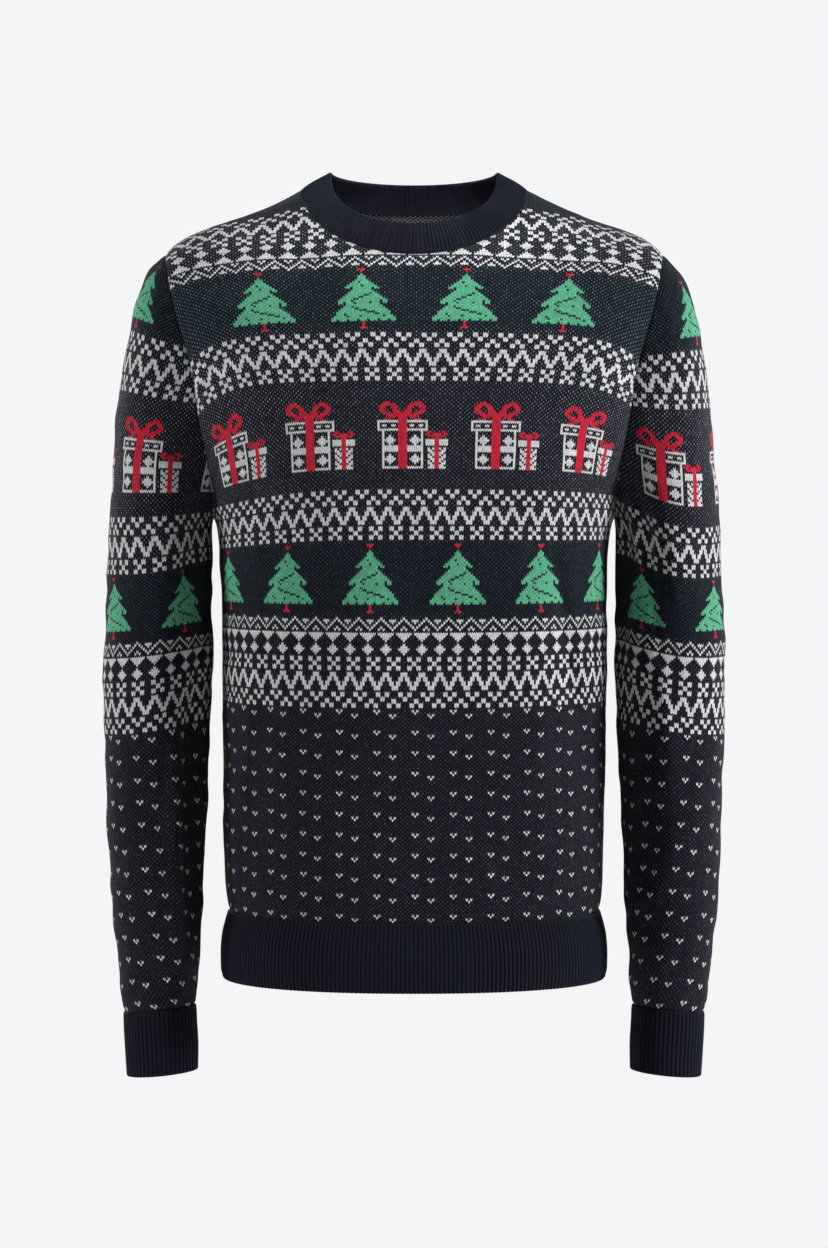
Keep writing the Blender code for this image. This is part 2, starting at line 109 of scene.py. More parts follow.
HEM_SECTIONS = (
    BODY_SECTIONS[0],
    (-0.6290, 0.1612, 0.1130, 0.1068),
    (-0.6420, 0.1642, 0.1155, 0.1092),
    (-0.6560, 0.1652, 0.1165, 0.1100),
    (-0.6690, 0.1650, 0.1162, 0.1098),
    (-0.6765, 0.1634, 0.1146, 0.1082),
)
RING_COLUMNS = ("outer_x", "outer_z", "inner_x", "inner_z", "half_depth", "middle_y")
SLEEVE_RINGS = (
    (0.2140, -0.0550, 0.1728, -0.2790, 0.0570, 0.0000),
    (0.2278, -0.0700, 0.1752, -0.2850, 0.0590, 0.0000),
    (0.2390, -0.0950, 0.1757, -0.2920, 0.0605, 0.0000),
    (0.2473, -0.1300, 0.1757, -0.3010, 0.0615, 0.0000),
    (0.2533, -0.1750, 0.1756, -0.3130, 0.0620, 0.0000),
    (0.2588, -0.2250, 0.1754, -0.3290, 0.0620, -0.0010),
    (0.2624, -0.2800, 0.1752, -0.3520, 0.0615, -0.0020),
    (0.2645, -0.3380, 0.1752, -0.3850, 0.0605, -0.0030),
    (0.2664, -0.4000, 0.1758, -0.4260, 0.0590, -0.0050),
    (0.2664, -0.4600, 0.1770, -0.4740, 0.0570, -0.0070),
    (0.2650, -0.5200, 0.1788, -0.5260, 0.0545, -0.0100),
    (0.2620, -0.5750, 0.1812, -0.5770, 0.0510, -0.0130),
    (0.2582, -0.6250, 0.1838, -0.6240, 0.0465, -0.0160),
    (0.2535, -0.6680, 0.1862, -0.6630, 0.0405, -0.0190),
    (0.2506, -0.6920, 0.1876, -0.6865, 0.0350, -0.0205),
    (0.2478, -0.7065, 0.1888, -0.7005, 0.0295, -0.0215),
)
CUFF_RINGS = (
    SLEEVE_RINGS[-1],
    (0.2474, -0.7200, 0.1882, -0.7140, 0.0290, -0.0220),
    (0.2460, -0.7420, 0.1870, -0.7360, 0.0288, -0.0228),
    (0.2448, -0.7600, 0.1872, -0.7545, 0.0292, -0.0235),
)
print(len(BODY_SECTIONS), "sections of the body and", len(SLEEVE_RINGS), "rings of the sleeve")

# %% [markdown]
# ## A smooth line through a table
# A tailor draws a curve through a few marks with a bent ruler. Here a cubic runs through the rows of a table
# and never overshoots them, so the cloth can be sampled as finely as its folds and stitches need.

# %% Reading a table
def steady_slopes(xs, ys):
    """A slope at each point of a table for a cubic that never overshoots its rows."""
    rises = np.diff(ys) / np.diff(xs)
    slopes = np.zeros(len(xs))
    slopes[0], slopes[-1] = rises[0], rises[-1]
    same_way = rises[:-1] * rises[1:] > 0
    before, after = rises[:-1][same_way], rises[1:][same_way]
    slopes[1:-1][same_way] = 2 * before * after / (before + after)
    return slopes


def read_table(names, rows, name, at, key=None):
    """The value of one named column, on a smooth line through the rows, where the key column is at."""
    table = np.array(rows)
    xs = np.arange(len(rows)) if key is None else table[:, names.index(key)]
    ys = table[:, names.index(name)]
    slopes = steady_slopes(xs, ys)
    at = np.clip(np.asarray(at, float), xs[0], xs[-1])
    i = np.clip(np.searchsorted(xs, at, "right") - 1, 0, len(xs) - 2)
    step = xs[i + 1] - xs[i]
    t = (at - xs[i]) / step
    return (
        ys[i] * (1 + 2 * t) * (1 - t) ** 2
        + ys[i + 1] * t * t * (3 - 2 * t)
        + step * (slopes[i] * t * (1 - t) ** 2 - slopes[i + 1] * t * t * (1 - t))
    )


def named(columns, rows):
    """The rows of a table, each with its columns' names."""
    return [dict(zip(columns, row)) for row in rows]


def unit(vectors):
    return vectors / np.linalg.norm(vectors, axis=-1, keepdims=True)


armpit_half_width = read_table(BODY_COLUMNS, BODY_SECTIONS, "half_width", ARMPIT, "height")
print("body is", round(2000 * float(armpit_half_width), 1), "mm wide under the arms")

# %% [markdown]
# ## The body as a sheet of points
# Front and back are each one sheet of points in the middle of the cloth. Its columns fan out from the hem
# to the shoulder, so that the outermost columns are the side seam and the armhole, and the top row is the
# shoulder seam, the neckline and the other shoulder seam.

# %% Front and back
TINY, WIDTH_AT = 1e-9, BODY_COLUMNS.index("half_width")
NECK_COLUMNS, SHOULDER_COLUMNS = 56, 40
ROWS_BELOW, ROWS_ABOVE = 110, 104


def shoulder_height(x):
    over_neck = NECK_CROWN * (1 - (np.minimum(np.abs(x), NECK_HALF_WIDTH) / NECK_HALF_WIDTH) ** 2)
    return read_table(SLOPE_COLUMNS, SHOULDER, "height", np.abs(x), "half_width") + over_neck


def body_turn(part, height):
    """Full half width at a height, and the angle round it that a part of the way to the edge stands for."""
    full = read_table(BODY_COLUMNS, BODY_SECTIONS, "half_width", height, "height")
    cut = read_table(EDGE_COLUMNS, ARMHOLE, "half_width", height, "height")
    edge = np.where(height > ARMPIT, np.minimum(cut / full, 1.0), 1.0)
    return full, part * np.arcsin(edge)


def depth_share(turn):
    """How deep a section is at a share of its half width, as a share of its middle: a full, flattish oval."""
    return np.maximum(1 - np.abs(turn) ** ROUNDNESS, 0) ** (1 / ROUNDNESS)


def body_depth(side, turn, height):
    name = "front_depth" if side < 0 else "back_depth"
    return read_table(BODY_COLUMNS, BODY_SECTIONS, name, height, "height") * depth_share(turn)


def body_point(side, part, height):
    full, angle = body_turn(part, height)
    x = full * np.sin(angle)
    inward = np.clip((np.abs(x) - NECK_HALF_WIDTH) / (SHOULDER_TIP_X - NECK_HALF_WIDTH), 0, 1)
    roll = ROLL_AT_NECK + (ROLL_AT_TIP - ROLL_AT_NECK) * inward
    below = np.clip((shoulder_height(x) - height) / roll, 0, 1)
    y = body_depth(side, np.sin(angle), height) * np.sqrt(1 - (1 - below) ** 2)
    droop = HEM_DROOP * np.cos(part * np.pi / 2) * np.clip((ARMPIT - height) / (ARMPIT - HEM_SEAM), 0, 1)
    return np.stack([x, side * y, height - droop], axis=-1)


def column_parts():
    full = BODY_SECTIONS[-1][WIDTH_AT]
    span = np.arcsin(SHOULDER_TIP_X / full)
    angles = np.linspace(0, np.pi / 2, NECK_COLUMNS + 1)
    neck = np.arcsin(NECK_HALF_WIDTH * np.sin(angles) / full) / span
    half = np.concatenate([neck, np.linspace(neck[-1], 1, SHOULDER_COLUMNS + 1)[1:]])
    return np.concatenate([-half[:0:-1], half])


def top_heights(side, parts):
    full = BODY_SECTIONS[-1][WIDTH_AT]
    x = full * np.sin(parts * np.arcsin(SHOULDER_TIP_X / full))
    drop = NECK_FRONT_DROP if side < 0 else NECK_BACK_DROP
    in_neck = np.abs(x) < NECK_HALF_WIDTH - TINY
    curve = -drop * np.sqrt(np.maximum(1 - (x / NECK_HALF_WIDTH) ** 2, 0))
    return np.where(in_neck, curve, read_table(SLOPE_COLUMNS, SHOULDER, "height", np.abs(x), "half_width"))


def panel_points(side):
    """The plain sheet, and the part across and the height that each of its points stands for."""
    parts = column_parts()
    top = top_heights(side, parts)
    below = np.linspace(0, 1, ROWS_BELOW + 1)[:-1, None] ** ROW_EASE
    rise = (1 - np.cos(np.linspace(0, np.pi, ROWS_ABOVE + 1)[:, None])) / 2
    heights = np.concatenate(
        [HEM_SEAM + (ARMPIT - HEM_SEAM) * below + 0 * top, ARMPIT + (top - ARMPIT) * rise]
    )
    parts = np.broadcast_to(parts, heights.shape)
    grid = body_point(side, parts, heights)
    grid[-1][np.abs(parts[-1]) >= parts[-1][-SHOULDER_COLUMNS - 1] - TINY, 1] = 0.0
    return grid, parts, heights


front_plain, front_parts, front_heights = panel_points(-1)
back_plain, back_parts, back_heights = panel_points(1)
print("front sheet", front_plain.shape[:2], "points,", np.round(np.ptp(front_plain, axis=(0, 1)), 3), "m")

# %% [markdown]
# ## Creases
# Knitting hangs in soft folds: long troughs down the sides where the cloth has more width than it needs,
# slanting ones that run in from the armholes, and drags under the arms. Each row of a table is one trough,
# or a ridge where its depth is negative. They fade out at the seams, so the pieces still meet there.

# %% Press the folds into the body
FOLD_TAPER, SEAM_CLEARANCE = 0.7, 8
FOLD_COLUMNS = ("top_x", "top_z", "bottom_x", "bottom_z", "half_width", "depth")
FRONT_FOLDS = (
    (-0.136, -0.400, -0.150, -0.570, 0.018, 0.0050),
    (0.128, -0.290, 0.145, -0.520, 0.020, 0.0050),
    (-0.150, -0.245, -0.085, -0.330, 0.018, 0.0035),
    (-0.128, -0.360, -0.161, -0.620, 0.010, -0.0075),
    (0.116, -0.300, 0.140, -0.480, 0.007, 0.0060),
    (0.146, -0.480, 0.150, -0.600, 0.006, 0.0034),
    (-0.118, -0.300, -0.126, -0.400, 0.007, 0.0022),
    (0.150, -0.420, 0.138, -0.600, 0.009, 0.0022),
    (0.160, -0.250, 0.090, -0.340, 0.011, 0.0026),
    (0.168, -0.180, 0.120, -0.260, 0.013, 0.0022),
    (-0.168, -0.170, -0.120, -0.250, 0.013, 0.0020),
    (-0.120, -0.560, -0.020, -0.600, 0.012, 0.0018),
    (0.105, -0.590, 0.030, -0.545, 0.012, 0.0016),
    (-0.100, -0.380, -0.112, -0.560, 0.013, -0.0016),
    (0.098, -0.330, 0.108, -0.520, 0.013, -0.0018),
    (-0.060, -0.560, -0.070, -0.615, 0.010, -0.0014),
    (0.052, -0.550, 0.064, -0.615, 0.010, -0.0014),
)
BACK_FOLDS = (
    (0.120, -0.380, 0.142, -0.580, 0.020, 0.0050),
    (-0.118, -0.300, -0.140, -0.520, 0.019, 0.0045),
    (0.100, -0.500, -0.080, -0.560, 0.022, 0.0040),
    (0.132, -0.330, 0.150, -0.470, 0.007, 0.0028),
    (-0.134, -0.400, -0.150, -0.590, 0.008, 0.0026),
    (0.155, -0.240, 0.080, -0.330, 0.013, 0.0028),
    (-0.157, -0.235, -0.090, -0.350, 0.014, 0.0026),
    (0.090, -0.420, -0.060, -0.470, 0.014, 0.0022),
    (-0.100, -0.585, 0.050, -0.610, 0.010, 0.0020),
    (0.060, -0.130, 0.050, -0.260, 0.020, -0.0020),
    (-0.055, -0.120, -0.060, -0.250, 0.020, -0.0018),
    (-0.030, -0.340, 0.010, -0.520, 0.016, -0.0018),
)


def trough(across, along, fold):
    taper = np.clip(np.sin(np.pi * np.clip(along, 0, 1)), 0, 1) ** FOLD_TAPER
    return fold["depth"] * taper * np.exp(-((across / fold["half_width"]) ** 2))


def pressed_panel(plain, parts, side, folds):
    grid = plain.copy()
    clear_of_seams = 1 - np.abs(parts) ** SEAM_CLEARANCE
    for fold in named(FOLD_COLUMNS, folds):
        top_point = np.array([fold["top_x"], fold["top_z"]])
        line = np.array([fold["bottom_x"], fold["bottom_z"]]) - top_point
        length = np.linalg.norm(line)
        away = grid[:, :, [0, 2]] - top_point
        along = away @ line / length**2
        across = (away[:, :, 0] * line[1] - away[:, :, 1] * line[0]) / length
        grid[:, :, 1] -= side * trough(across, along, fold) * clear_of_seams
    return grid


front = pressed_panel(front_plain, front_parts, -1, FRONT_FOLDS)
back = pressed_panel(back_plain, back_parts, 1, BACK_FOLDS)
print("deepest front fold", round(1000 * np.abs(front - front_plain).max(), 1), "mm")

# %% [markdown]
# ## Sleeves
# A sleeve is a tube of ovals. Its first ring is the armhole itself, and over the cap the rings ease from
# that line into plain ovals. The wearer's arm hangs a little forward, and the tube narrows to the cuff.

# %% Sleeve tubes
SLEEVE_STEPS, SLEEVE_RADIUS = 135, 0.055
CAP_SHARE, CLEAR_ABOVE, CLEAR_BELOW = 6 / 15, 3 / 15, 2 / 15
RIGHT_SLEEVE_FOLDS = (
    (128, -0.230, 95, -0.430, 0.016, 0.0060),
    (100, -0.520, 135, -0.610, 0.014, 0.0045),
    (250, -0.300, 275, -0.450, 0.018, 0.0050),
    (136, -0.215, 103, -0.420, 0.006, 0.0042),
    (118, -0.300, 92, -0.520, 0.009, -0.0026),
    (150, -0.290, 120, -0.400, 0.008, 0.0030),
    (100, -0.600, 140, -0.660, 0.008, 0.0020),
    (60, -0.450, 90, -0.560, 0.010, 0.0018),
    (70, -0.640, 110, -0.690, 0.007, 0.0016),
    (220, -0.280, 240, -0.400, 0.008, 0.0026),
    (152, -0.235, 158, -0.420, 0.013, 0.0060),
    (290, -0.500, 250, -0.600, 0.012, 0.0030),
    (230, -0.620, 260, -0.680, 0.008, 0.0022),
    (300, -0.340, 320, -0.470, 0.012, -0.0018),
)
LEFT_SLEEVE_FOLDS = (
    (118, -0.300, 100, -0.560, 0.015, 0.0055),
    (70, -0.500, 120, -0.590, 0.014, 0.0040),
    (240, -0.330, 270, -0.480, 0.018, 0.0050),
    (134, -0.395, 150, -0.660, 0.018, 0.0080),
    (110, -0.420, 123, -0.660, 0.009, -0.0050),
    (130, -0.220, 136, -0.420, 0.016, 0.0040),
    (152, -0.280, 118, -0.350, 0.008, 0.0034),
    (110, -0.600, 80, -0.680, 0.009, 0.0020),
    (150, -0.350, 138, -0.480, 0.008, 0.0024),
    (60, -0.640, 100, -0.695, 0.007, 0.0016),
    (225, -0.290, 245, -0.400, 0.008, 0.0026),
    (285, -0.510, 245, -0.610, 0.012, 0.0030),
    (225, -0.630, 255, -0.690, 0.008, 0.0020),
    (300, -0.330, 315, -0.480, 0.012, -0.0018),
)
RING_FOLD_COLUMNS = ("top_angle", "top_z", "bottom_angle", "bottom_z", "half_width", "depth")
around = np.arange(2 * ROWS_ABOVE) * np.pi / ROWS_ABOVE


def oval_rings(table, steps):
    at = np.linspace(0, len(table) - 1, steps + 1)
    ring = {name: read_table(RING_COLUMNS, table, name, at)[:, None] for name in RING_COLUMNS}
    lean = np.cos(around)[None, :]
    x = (ring["outer_x"] + ring["inner_x"]) / 2 + lean * (ring["outer_x"] - ring["inner_x"]) / 2
    z = (ring["outer_z"] + ring["inner_z"]) / 2 + lean * (ring["outer_z"] - ring["inner_z"]) / 2
    y = ring["middle_y"] - np.sin(around)[None, :] * ring["half_depth"]
    return np.stack([x, y, z], axis=-1)


def grid_normals(grid, closed):
    if closed:
        along = np.roll(grid, -1, axis=1) - np.roll(grid, 1, axis=1)
    else:
        along = np.gradient(grid, axis=1)
    normals = unit(np.cross(along, np.gradient(grid, axis=0)))
    middle = grid.mean(axis=1, keepdims=True)
    if not closed:
        middle[:, :, 1] = 0.0
    return -normals if np.sum(normals * (grid - middle)) < 0 else normals


def armhole_loop(front_sheet, back_sheet):
    front_edge = front_sheet[ROWS_BELOW:, -1][::-1]
    return np.concatenate([front_edge, back_sheet[ROWS_BELOW:, -1][1:-1]])


def sleeve_points(armhole, folds):
    grid = oval_rings(SLEEVE_RINGS, SLEEVE_STEPS)
    own_line = armhole - grid[0]
    part = np.arange(SLEEVE_STEPS + 1) / SLEEVE_STEPS
    fade = np.where(part < CAP_SHARE, (1 + np.cos(np.pi * part / CAP_SHARE)) / 2, 0)
    grid += own_line[None] * fade[:, None, None]
    outward = grid_normals(grid, True)
    clear = np.clip(part / CLEAR_ABOVE, 0, 1) * np.clip((1 - part) / CLEAR_BELOW, 0, 1)
    for fold in named(RING_FOLD_COLUMNS, folds):
        along = (fold["top_z"] - grid[:, :, 2]) / (fold["top_z"] - fold["bottom_z"])
        turn = fold["top_angle"] + (fold["bottom_angle"] - fold["top_angle"]) * np.clip(along, 0, 1)
        off = (np.degrees(around)[None, :] - turn + 180) % 360 - 180
        across = np.radians(off) * SLEEVE_RADIUS
        grid -= outward * (trough(across, along, fold) * clear[:, None])[:, :, None]
    return grid


MIRROR = np.array([-1.0, 1.0, 1.0])
right_sleeve = sleeve_points(armhole_loop(front, back), RIGHT_SLEEVE_FOLDS)
left_sleeve = MIRROR * sleeve_points(MIRROR * armhole_loop(front[:, ::-1], back[:, ::-1]), LEFT_SLEEVE_FOLDS)
print("sleeve sheet", right_sleeve.shape[:2], "points")

# %% [markdown]
# ## Ribbed bands
# The bands start on the seams of the pieces they hold and are knitted tighter, so they draw in. The
# neckband's ribs run straight from its seam up to the opening, fanning round the curve of the neck.

# %% Hem, cuffs and neckband
BAND_STEPS = 16
CORNER_EASE = 8


def hem_points():
    parts = column_parts()
    turn = np.sin(parts * np.pi / 2)
    grid = [np.concatenate([front[0], back[0][-2:0:-1]])]
    for at in np.linspace(0, len(HEM_SECTIONS) - 1, BAND_STEPS + 1)[1:]:
        height, half_width, front_depth, back_depth = (
            read_table(BODY_COLUMNS, HEM_SECTIONS, name, at) for name in BODY_COLUMNS
        )
        z = height - HEM_DROOP * np.cos(parts * np.pi / 2)
        front_line = np.stack([half_width * turn, -front_depth * depth_share(turn), z], axis=-1)
        back_line = np.stack([half_width * turn, back_depth * depth_share(turn), z], axis=-1)
        grid.append(np.concatenate([front_line, back_line[-2:0:-1]]))
    return np.array(grid)


def neckband_points():
    corner = SHOULDER_COLUMNS
    seam = np.concatenate([front[-1][corner:-corner], back[-1][corner:-corner][-2:0:-1]])
    turn = np.arange(len(seam)) * 2 * np.pi / len(seam) - np.pi / 2
    in_front, forward = np.cos(turn) > 0, np.abs(np.cos(turn))
    y = np.where(in_front, BAND_FRONT_Y, BAND_BACK_Y) * forward
    drop = np.where(in_front, BAND_SIDE_TOP - BAND_FRONT_TOP, BAND_SIDE_TOP - BAND_BACK_TOP)
    top = BAND_SIDE_TOP - drop * forward**BAND_DIP
    for _ in range(CORNER_EASE):
        top = (np.roll(top, 1) + 2 * top + np.roll(top, -1)) / 4
    opening = np.stack([BAND_HALF_WIDTH * np.sin(turn), y, top], axis=-1)
    away = unit(seam - seam.mean(axis=0))
    steps = np.linspace(0, 1, BAND_STEPS + 1)[:, None, None]
    return seam + (opening - seam) * steps + away * BAND_CURVE * np.sin(np.pi * steps)


hem = hem_points()
neckband = neckband_points()
cuff = oval_rings(CUFF_RINGS, BAND_STEPS)
round_neck = np.linalg.norm(np.roll(neckband, -1, axis=1) - neckband, axis=2).sum(axis=1)
tall = np.linalg.norm(np.diff(neckband, axis=0), axis=2).sum(axis=0)
print("neckband", np.round(round_neck[[0, len(round_neck) // 2, -1]], 3), "m round, from seam to opening")
print("and", np.round([tall.min(), tall.mean(), tall.max()], 4), "m tall: least, mean and most")

# %% [markdown]
# ## Counting stitches
# A wale is a column of stitches and a course is a row of them. Every point of the cloth gets its wale and
# course number, like a place on squared paper. Wales run on across the body and are cut off by the armhole
# and the neck; they open out where the chest and the shoulders stretch the cloth. Courses are counted up
# from the hem, along the cloth and not straight up. A wale is about 1.9 mm wide and a course 1.75 mm high,
# which is fine knitting. Both are worked out from how many figures fit across and up the real garment.

# %% Wales and courses of the body
GAUGE_COLUMNS = ("height", "wale_width")
BODY_GAUGE = (
    (-0.620, 0.001863),
    (-0.300, 0.001863),
    (-0.215, 0.001890),
    (-0.152, 0.002080),
    (-0.100, 0.002200),
    (-0.060, 0.002290),
    (0.000, 0.002300),
)

# Courses and the heights they lie at, down the middle of the front
BODY_COURSES = (
    (0, -0.6245),
    (103, -0.4490),
    (149, -0.3650),
    (206, -0.2625),
    (258, -0.1720),
    (283, -0.1285),
    (315, -0.0770),
)
SHOULDER_COURSE = 0.00172
SIDE_DROOP, SIDE_DROOP_FROM, SIDE_DROOP_TO = 3.5, -0.36, -0.20
OPENED, OPENED_POWER, OPENED_FROM, OPENED_TO = 0.07, 6, -0.25, -0.17

# How many courses the front hangs lower at its edges, and how soon that starts on the way to the edge
HANG_COLUMNS = ("height", "left", "left_power", "right", "right_power")
HANG = (
    (-0.36, 0.0, 3.0, 0.0, 6.0),
    (-0.30, 5.5, 3.0, 0.0, 6.0),
    (-0.23, 10.0, 4.0, 2.0, 8.0),
    (-0.16, 9.0, 9.0, 8.0, 9.0),
    (-0.12, 6.5, 8.0, 6.5, 8.0),
    (-0.08, 5.5, 6.0, 5.5, 7.0),
    (-0.05, 4.0, 6.0, 4.0, 6.0),
)
ARC_STEPS = 48


def smooth_step(value, low, high):
    t = np.clip((value - low) / (high - low), 0, 1)
    return t * t * (3 - 2 * t)


def body_stitches(side, plain, parts, heights):
    full, angle = body_turn(parts, heights)
    angles = angle[:, :, None] * np.linspace(0, 1, ARC_STEPS + 1)
    x = full[:, :, None] * np.sin(angles)
    y = body_depth(side, np.sin(angles), heights[:, :, None] + 0 * angles)
    arc = np.hypot(np.diff(x, axis=2), np.diff(y, axis=2)).sum(axis=2) * np.sign(parts)
    wale_width = read_table(GAUGE_COLUMNS, BODY_GAUGE, "wale_width", heights, "height")
    wales = arc / wale_width
    sideways = np.diff(wales, axis=0) * (wale_width[1:] + wale_width[:-1]) / 2
    steps = np.linalg.norm(np.diff(plain, axis=0), axis=2)
    upward = np.sqrt(np.maximum(steps**2 - sideways**2, 0))
    length = np.concatenate([np.zeros((1, plain.shape[1])), np.cumsum(upward, axis=0)])
    middle = plain.shape[1] // 2
    known_courses, known_heights = np.array(BODY_COURSES).T
    at_rows = np.interp(known_heights, plain[:, middle, 2], length[:, middle])
    courses = np.interp(length, at_rows, known_courses)
    courses += np.maximum(length - at_rows[-1], 0) / SHOULDER_COURSE
    reach = np.abs(plain[:, :, 0]) / np.abs(plain[:, -1:, 0])
    opened = OPENED * smooth_step(heights, OPENED_FROM, OPENED_TO)
    wales = wales * (1 - opened * reach**OPENED_POWER)
    courses += SIDE_DROOP * reach**2 * smooth_step(heights, SIDE_DROOP_FROM, SIDE_DROOP_TO)
    if side < 0:
        hang = {name: read_table(HANG_COLUMNS, HANG, name, heights, "height") for name in HANG_COLUMNS[1:]}
        left = hang["left"] * reach ** hang["left_power"]
        courses += np.where(parts < 0, left, hang["right"] * reach ** hang["right_power"])
    return wales, courses


front_wales, front_courses = body_stitches(-1, front_plain, front_parts, front_heights)
back_wales, back_courses = body_stitches(1, back_plain, back_parts, back_heights)
print("front has", round(np.ptp(front_wales)), "wales and", round(front_courses.max()), "courses")

# %% [markdown]
# ## Counting stitches on the sleeves
# A sleeve is knitted flat and sewn under the arm. Its wales are counted both ways from the outer edge, along
# the level oval of each height, and so its rows of figures lie level round the arm. The tube turns and sags
# a little on the arm, and two short tables say how much.

# %% Wales and courses of the sleeves
SLEEVE_WALE = 0.0019
CAP_FROM, CAP_HALF_WIDTH = -0.175, 0.0388

# The wale on a sleeve's outer edge: the tube turns a little on the arm
TWIST_COLUMNS = ("height", "left", "right")
TWIST = (
    (-0.70, 0.0, 4.5),
    (-0.45, 0.0, 3.0),
    (-0.37, -1.0, 1.6),
    (-0.24, 2.0, 1.4),
    (-0.13, 0.0, -1.2),
    (-0.05, 0.0, -1.2),
)

# Rows on a sleeve lie one even course above another, and hang this many mm above or below that at the
# tube's outer edge, front and inner edge. The bend of the elbow lifts them at the inner edge.
SLEEVE_COURSE, SLEEVE_FIRST = 0.0019, -0.670
SAG_COLUMNS = (
    "height", "left_outer", "left_front", "left_inner", "right_outer", "right_front", "right_inner",
)
SLEEVE_SAG = (
    (-0.70, 0, 5, 4, 0, 5, 4),
    (-0.49, 2, 4, 4, 2, 4, 4),
    (-0.46, 0, 4, 18, 0, 3, 18),
    (-0.39, 0, 3, 10, 3, 3, 16),
    (-0.32, -9, -8, 4, -10, -11, 9),
    (-0.26, -1, -3, 0, -10, -12, 15),
    (-0.18, 8, -3, -7, -8, -12, -4),
    (-0.13, 17, 1, -7, -1, -9, -13),
    (-0.07, 7, -7, -12, -7, -18, -21),
    (-0.04, 3, -14, -18, -14, -29, -29),
)


def sleeve_section(z):
    """The level oval at each height: its half width, half depth and middle. It slides along over the cap."""
    outer_x, outer_z, inner_x, inner_z, half_depths, middle_y = np.array(SLEEVE_RINGS).T
    outer = np.interp(-z, -outer_z, outer_x)
    inner = np.interp(-z, -inner_z, inner_x)
    below = -(outer_z + inner_z) / 2
    half_width = np.maximum((outer - inner) / 2, CAP_HALF_WIDTH * (z > CAP_FROM))
    return half_width, np.interp(-z, below, half_depths), outer - half_width, np.interp(-z, below, middle_y)


def oval_arc(half_width, half_depth, turn):
    """The length along an oval from its outer point to a turn."""
    middles = (np.arange(ARC_STEPS) + 0.5) / ARC_STEPS
    turns = turn[..., None] * middles
    step = np.hypot(half_width[..., None] * np.sin(turns), half_depth[..., None] * np.cos(turns))
    return step.mean(axis=-1) * turn


def sleeve_stitches(grid, side, sign):
    """Wales at both sides of each face and courses at each point, from where the points lie."""
    closed = np.concatenate([grid, grid[:, :1]], axis=1)
    z = closed[:, :, 2]
    half_width, half_depth, middle_x, middle_y = sleeve_section(z)
    forward, outward = middle_y - closed[:, :, 1], np.abs(closed[:, :, 0]) - middle_x
    turn = np.arctan2(forward / half_depth, outward / half_width)
    under = len(around) // 2
    front_turn = np.where(turn < -np.pi / 2, turn + 2 * np.pi, turn)[:, : under + 1]
    back_turn = np.where(turn > np.pi / 2, turn - 2 * np.pi, turn)[:, under:]
    turns = np.concatenate([front_turn, back_turn], axis=1)
    columns = np.concatenate([np.arange(under + 1), np.arange(under, len(around) + 1)])
    shift = read_table(TWIST_COLUMNS, TWIST, side, z[:, columns], "height")
    wales = oval_arc(half_width[:, columns], half_depth[:, columns], turns) / SLEEVE_WALE * sign + shift
    from_wales = np.delete(wales[:, :-1], under, axis=1)
    to_wales = np.delete(wales[:, 1:], under, axis=1)
    lean = np.cos(turn)[None]
    even = np.array(SLEEVE_SAG)[:, 0]
    course = (even - SLEEVE_FIRST) / SLEEVE_COURSE
    first = SAG_COLUMNS.index(side + "_outer")
    hung = even[:, None] + np.array(SLEEVE_SAG)[:, first : first + 3] / 1000
    outer, in_front, inner = (hung[:, n, None, None] for n in range(3))
    heights = in_front + (outer - inner) / 2 * lean + ((outer + inner) / 2 - in_front) * lean**2
    at = np.clip((heights <= z).sum(axis=0) - 1, 0, len(even) - 2)
    low = np.take_along_axis(heights, at[None], axis=0)[0]
    high = np.take_along_axis(heights, at[None] + 1, axis=0)[0]
    courses = course[at] + (course[at + 1] - course[at]) * (z - low) / (high - low)
    return from_wales, to_wales, courses


right_stitches = sleeve_stitches(right_sleeve, "right", -1)
left_stitches = sleeve_stitches(left_sleeve, "left", 1)
print("highest courses on the caps:", [round(made[2].max()) for made in (left_stitches, right_stitches)])

# %% [markdown]
# ## Pattern charts
# A knitter works from squared paper. Each chart here is one repeat, drawn row by row from the top: a dot
# is the navy ground, w off-white, g green and r red.

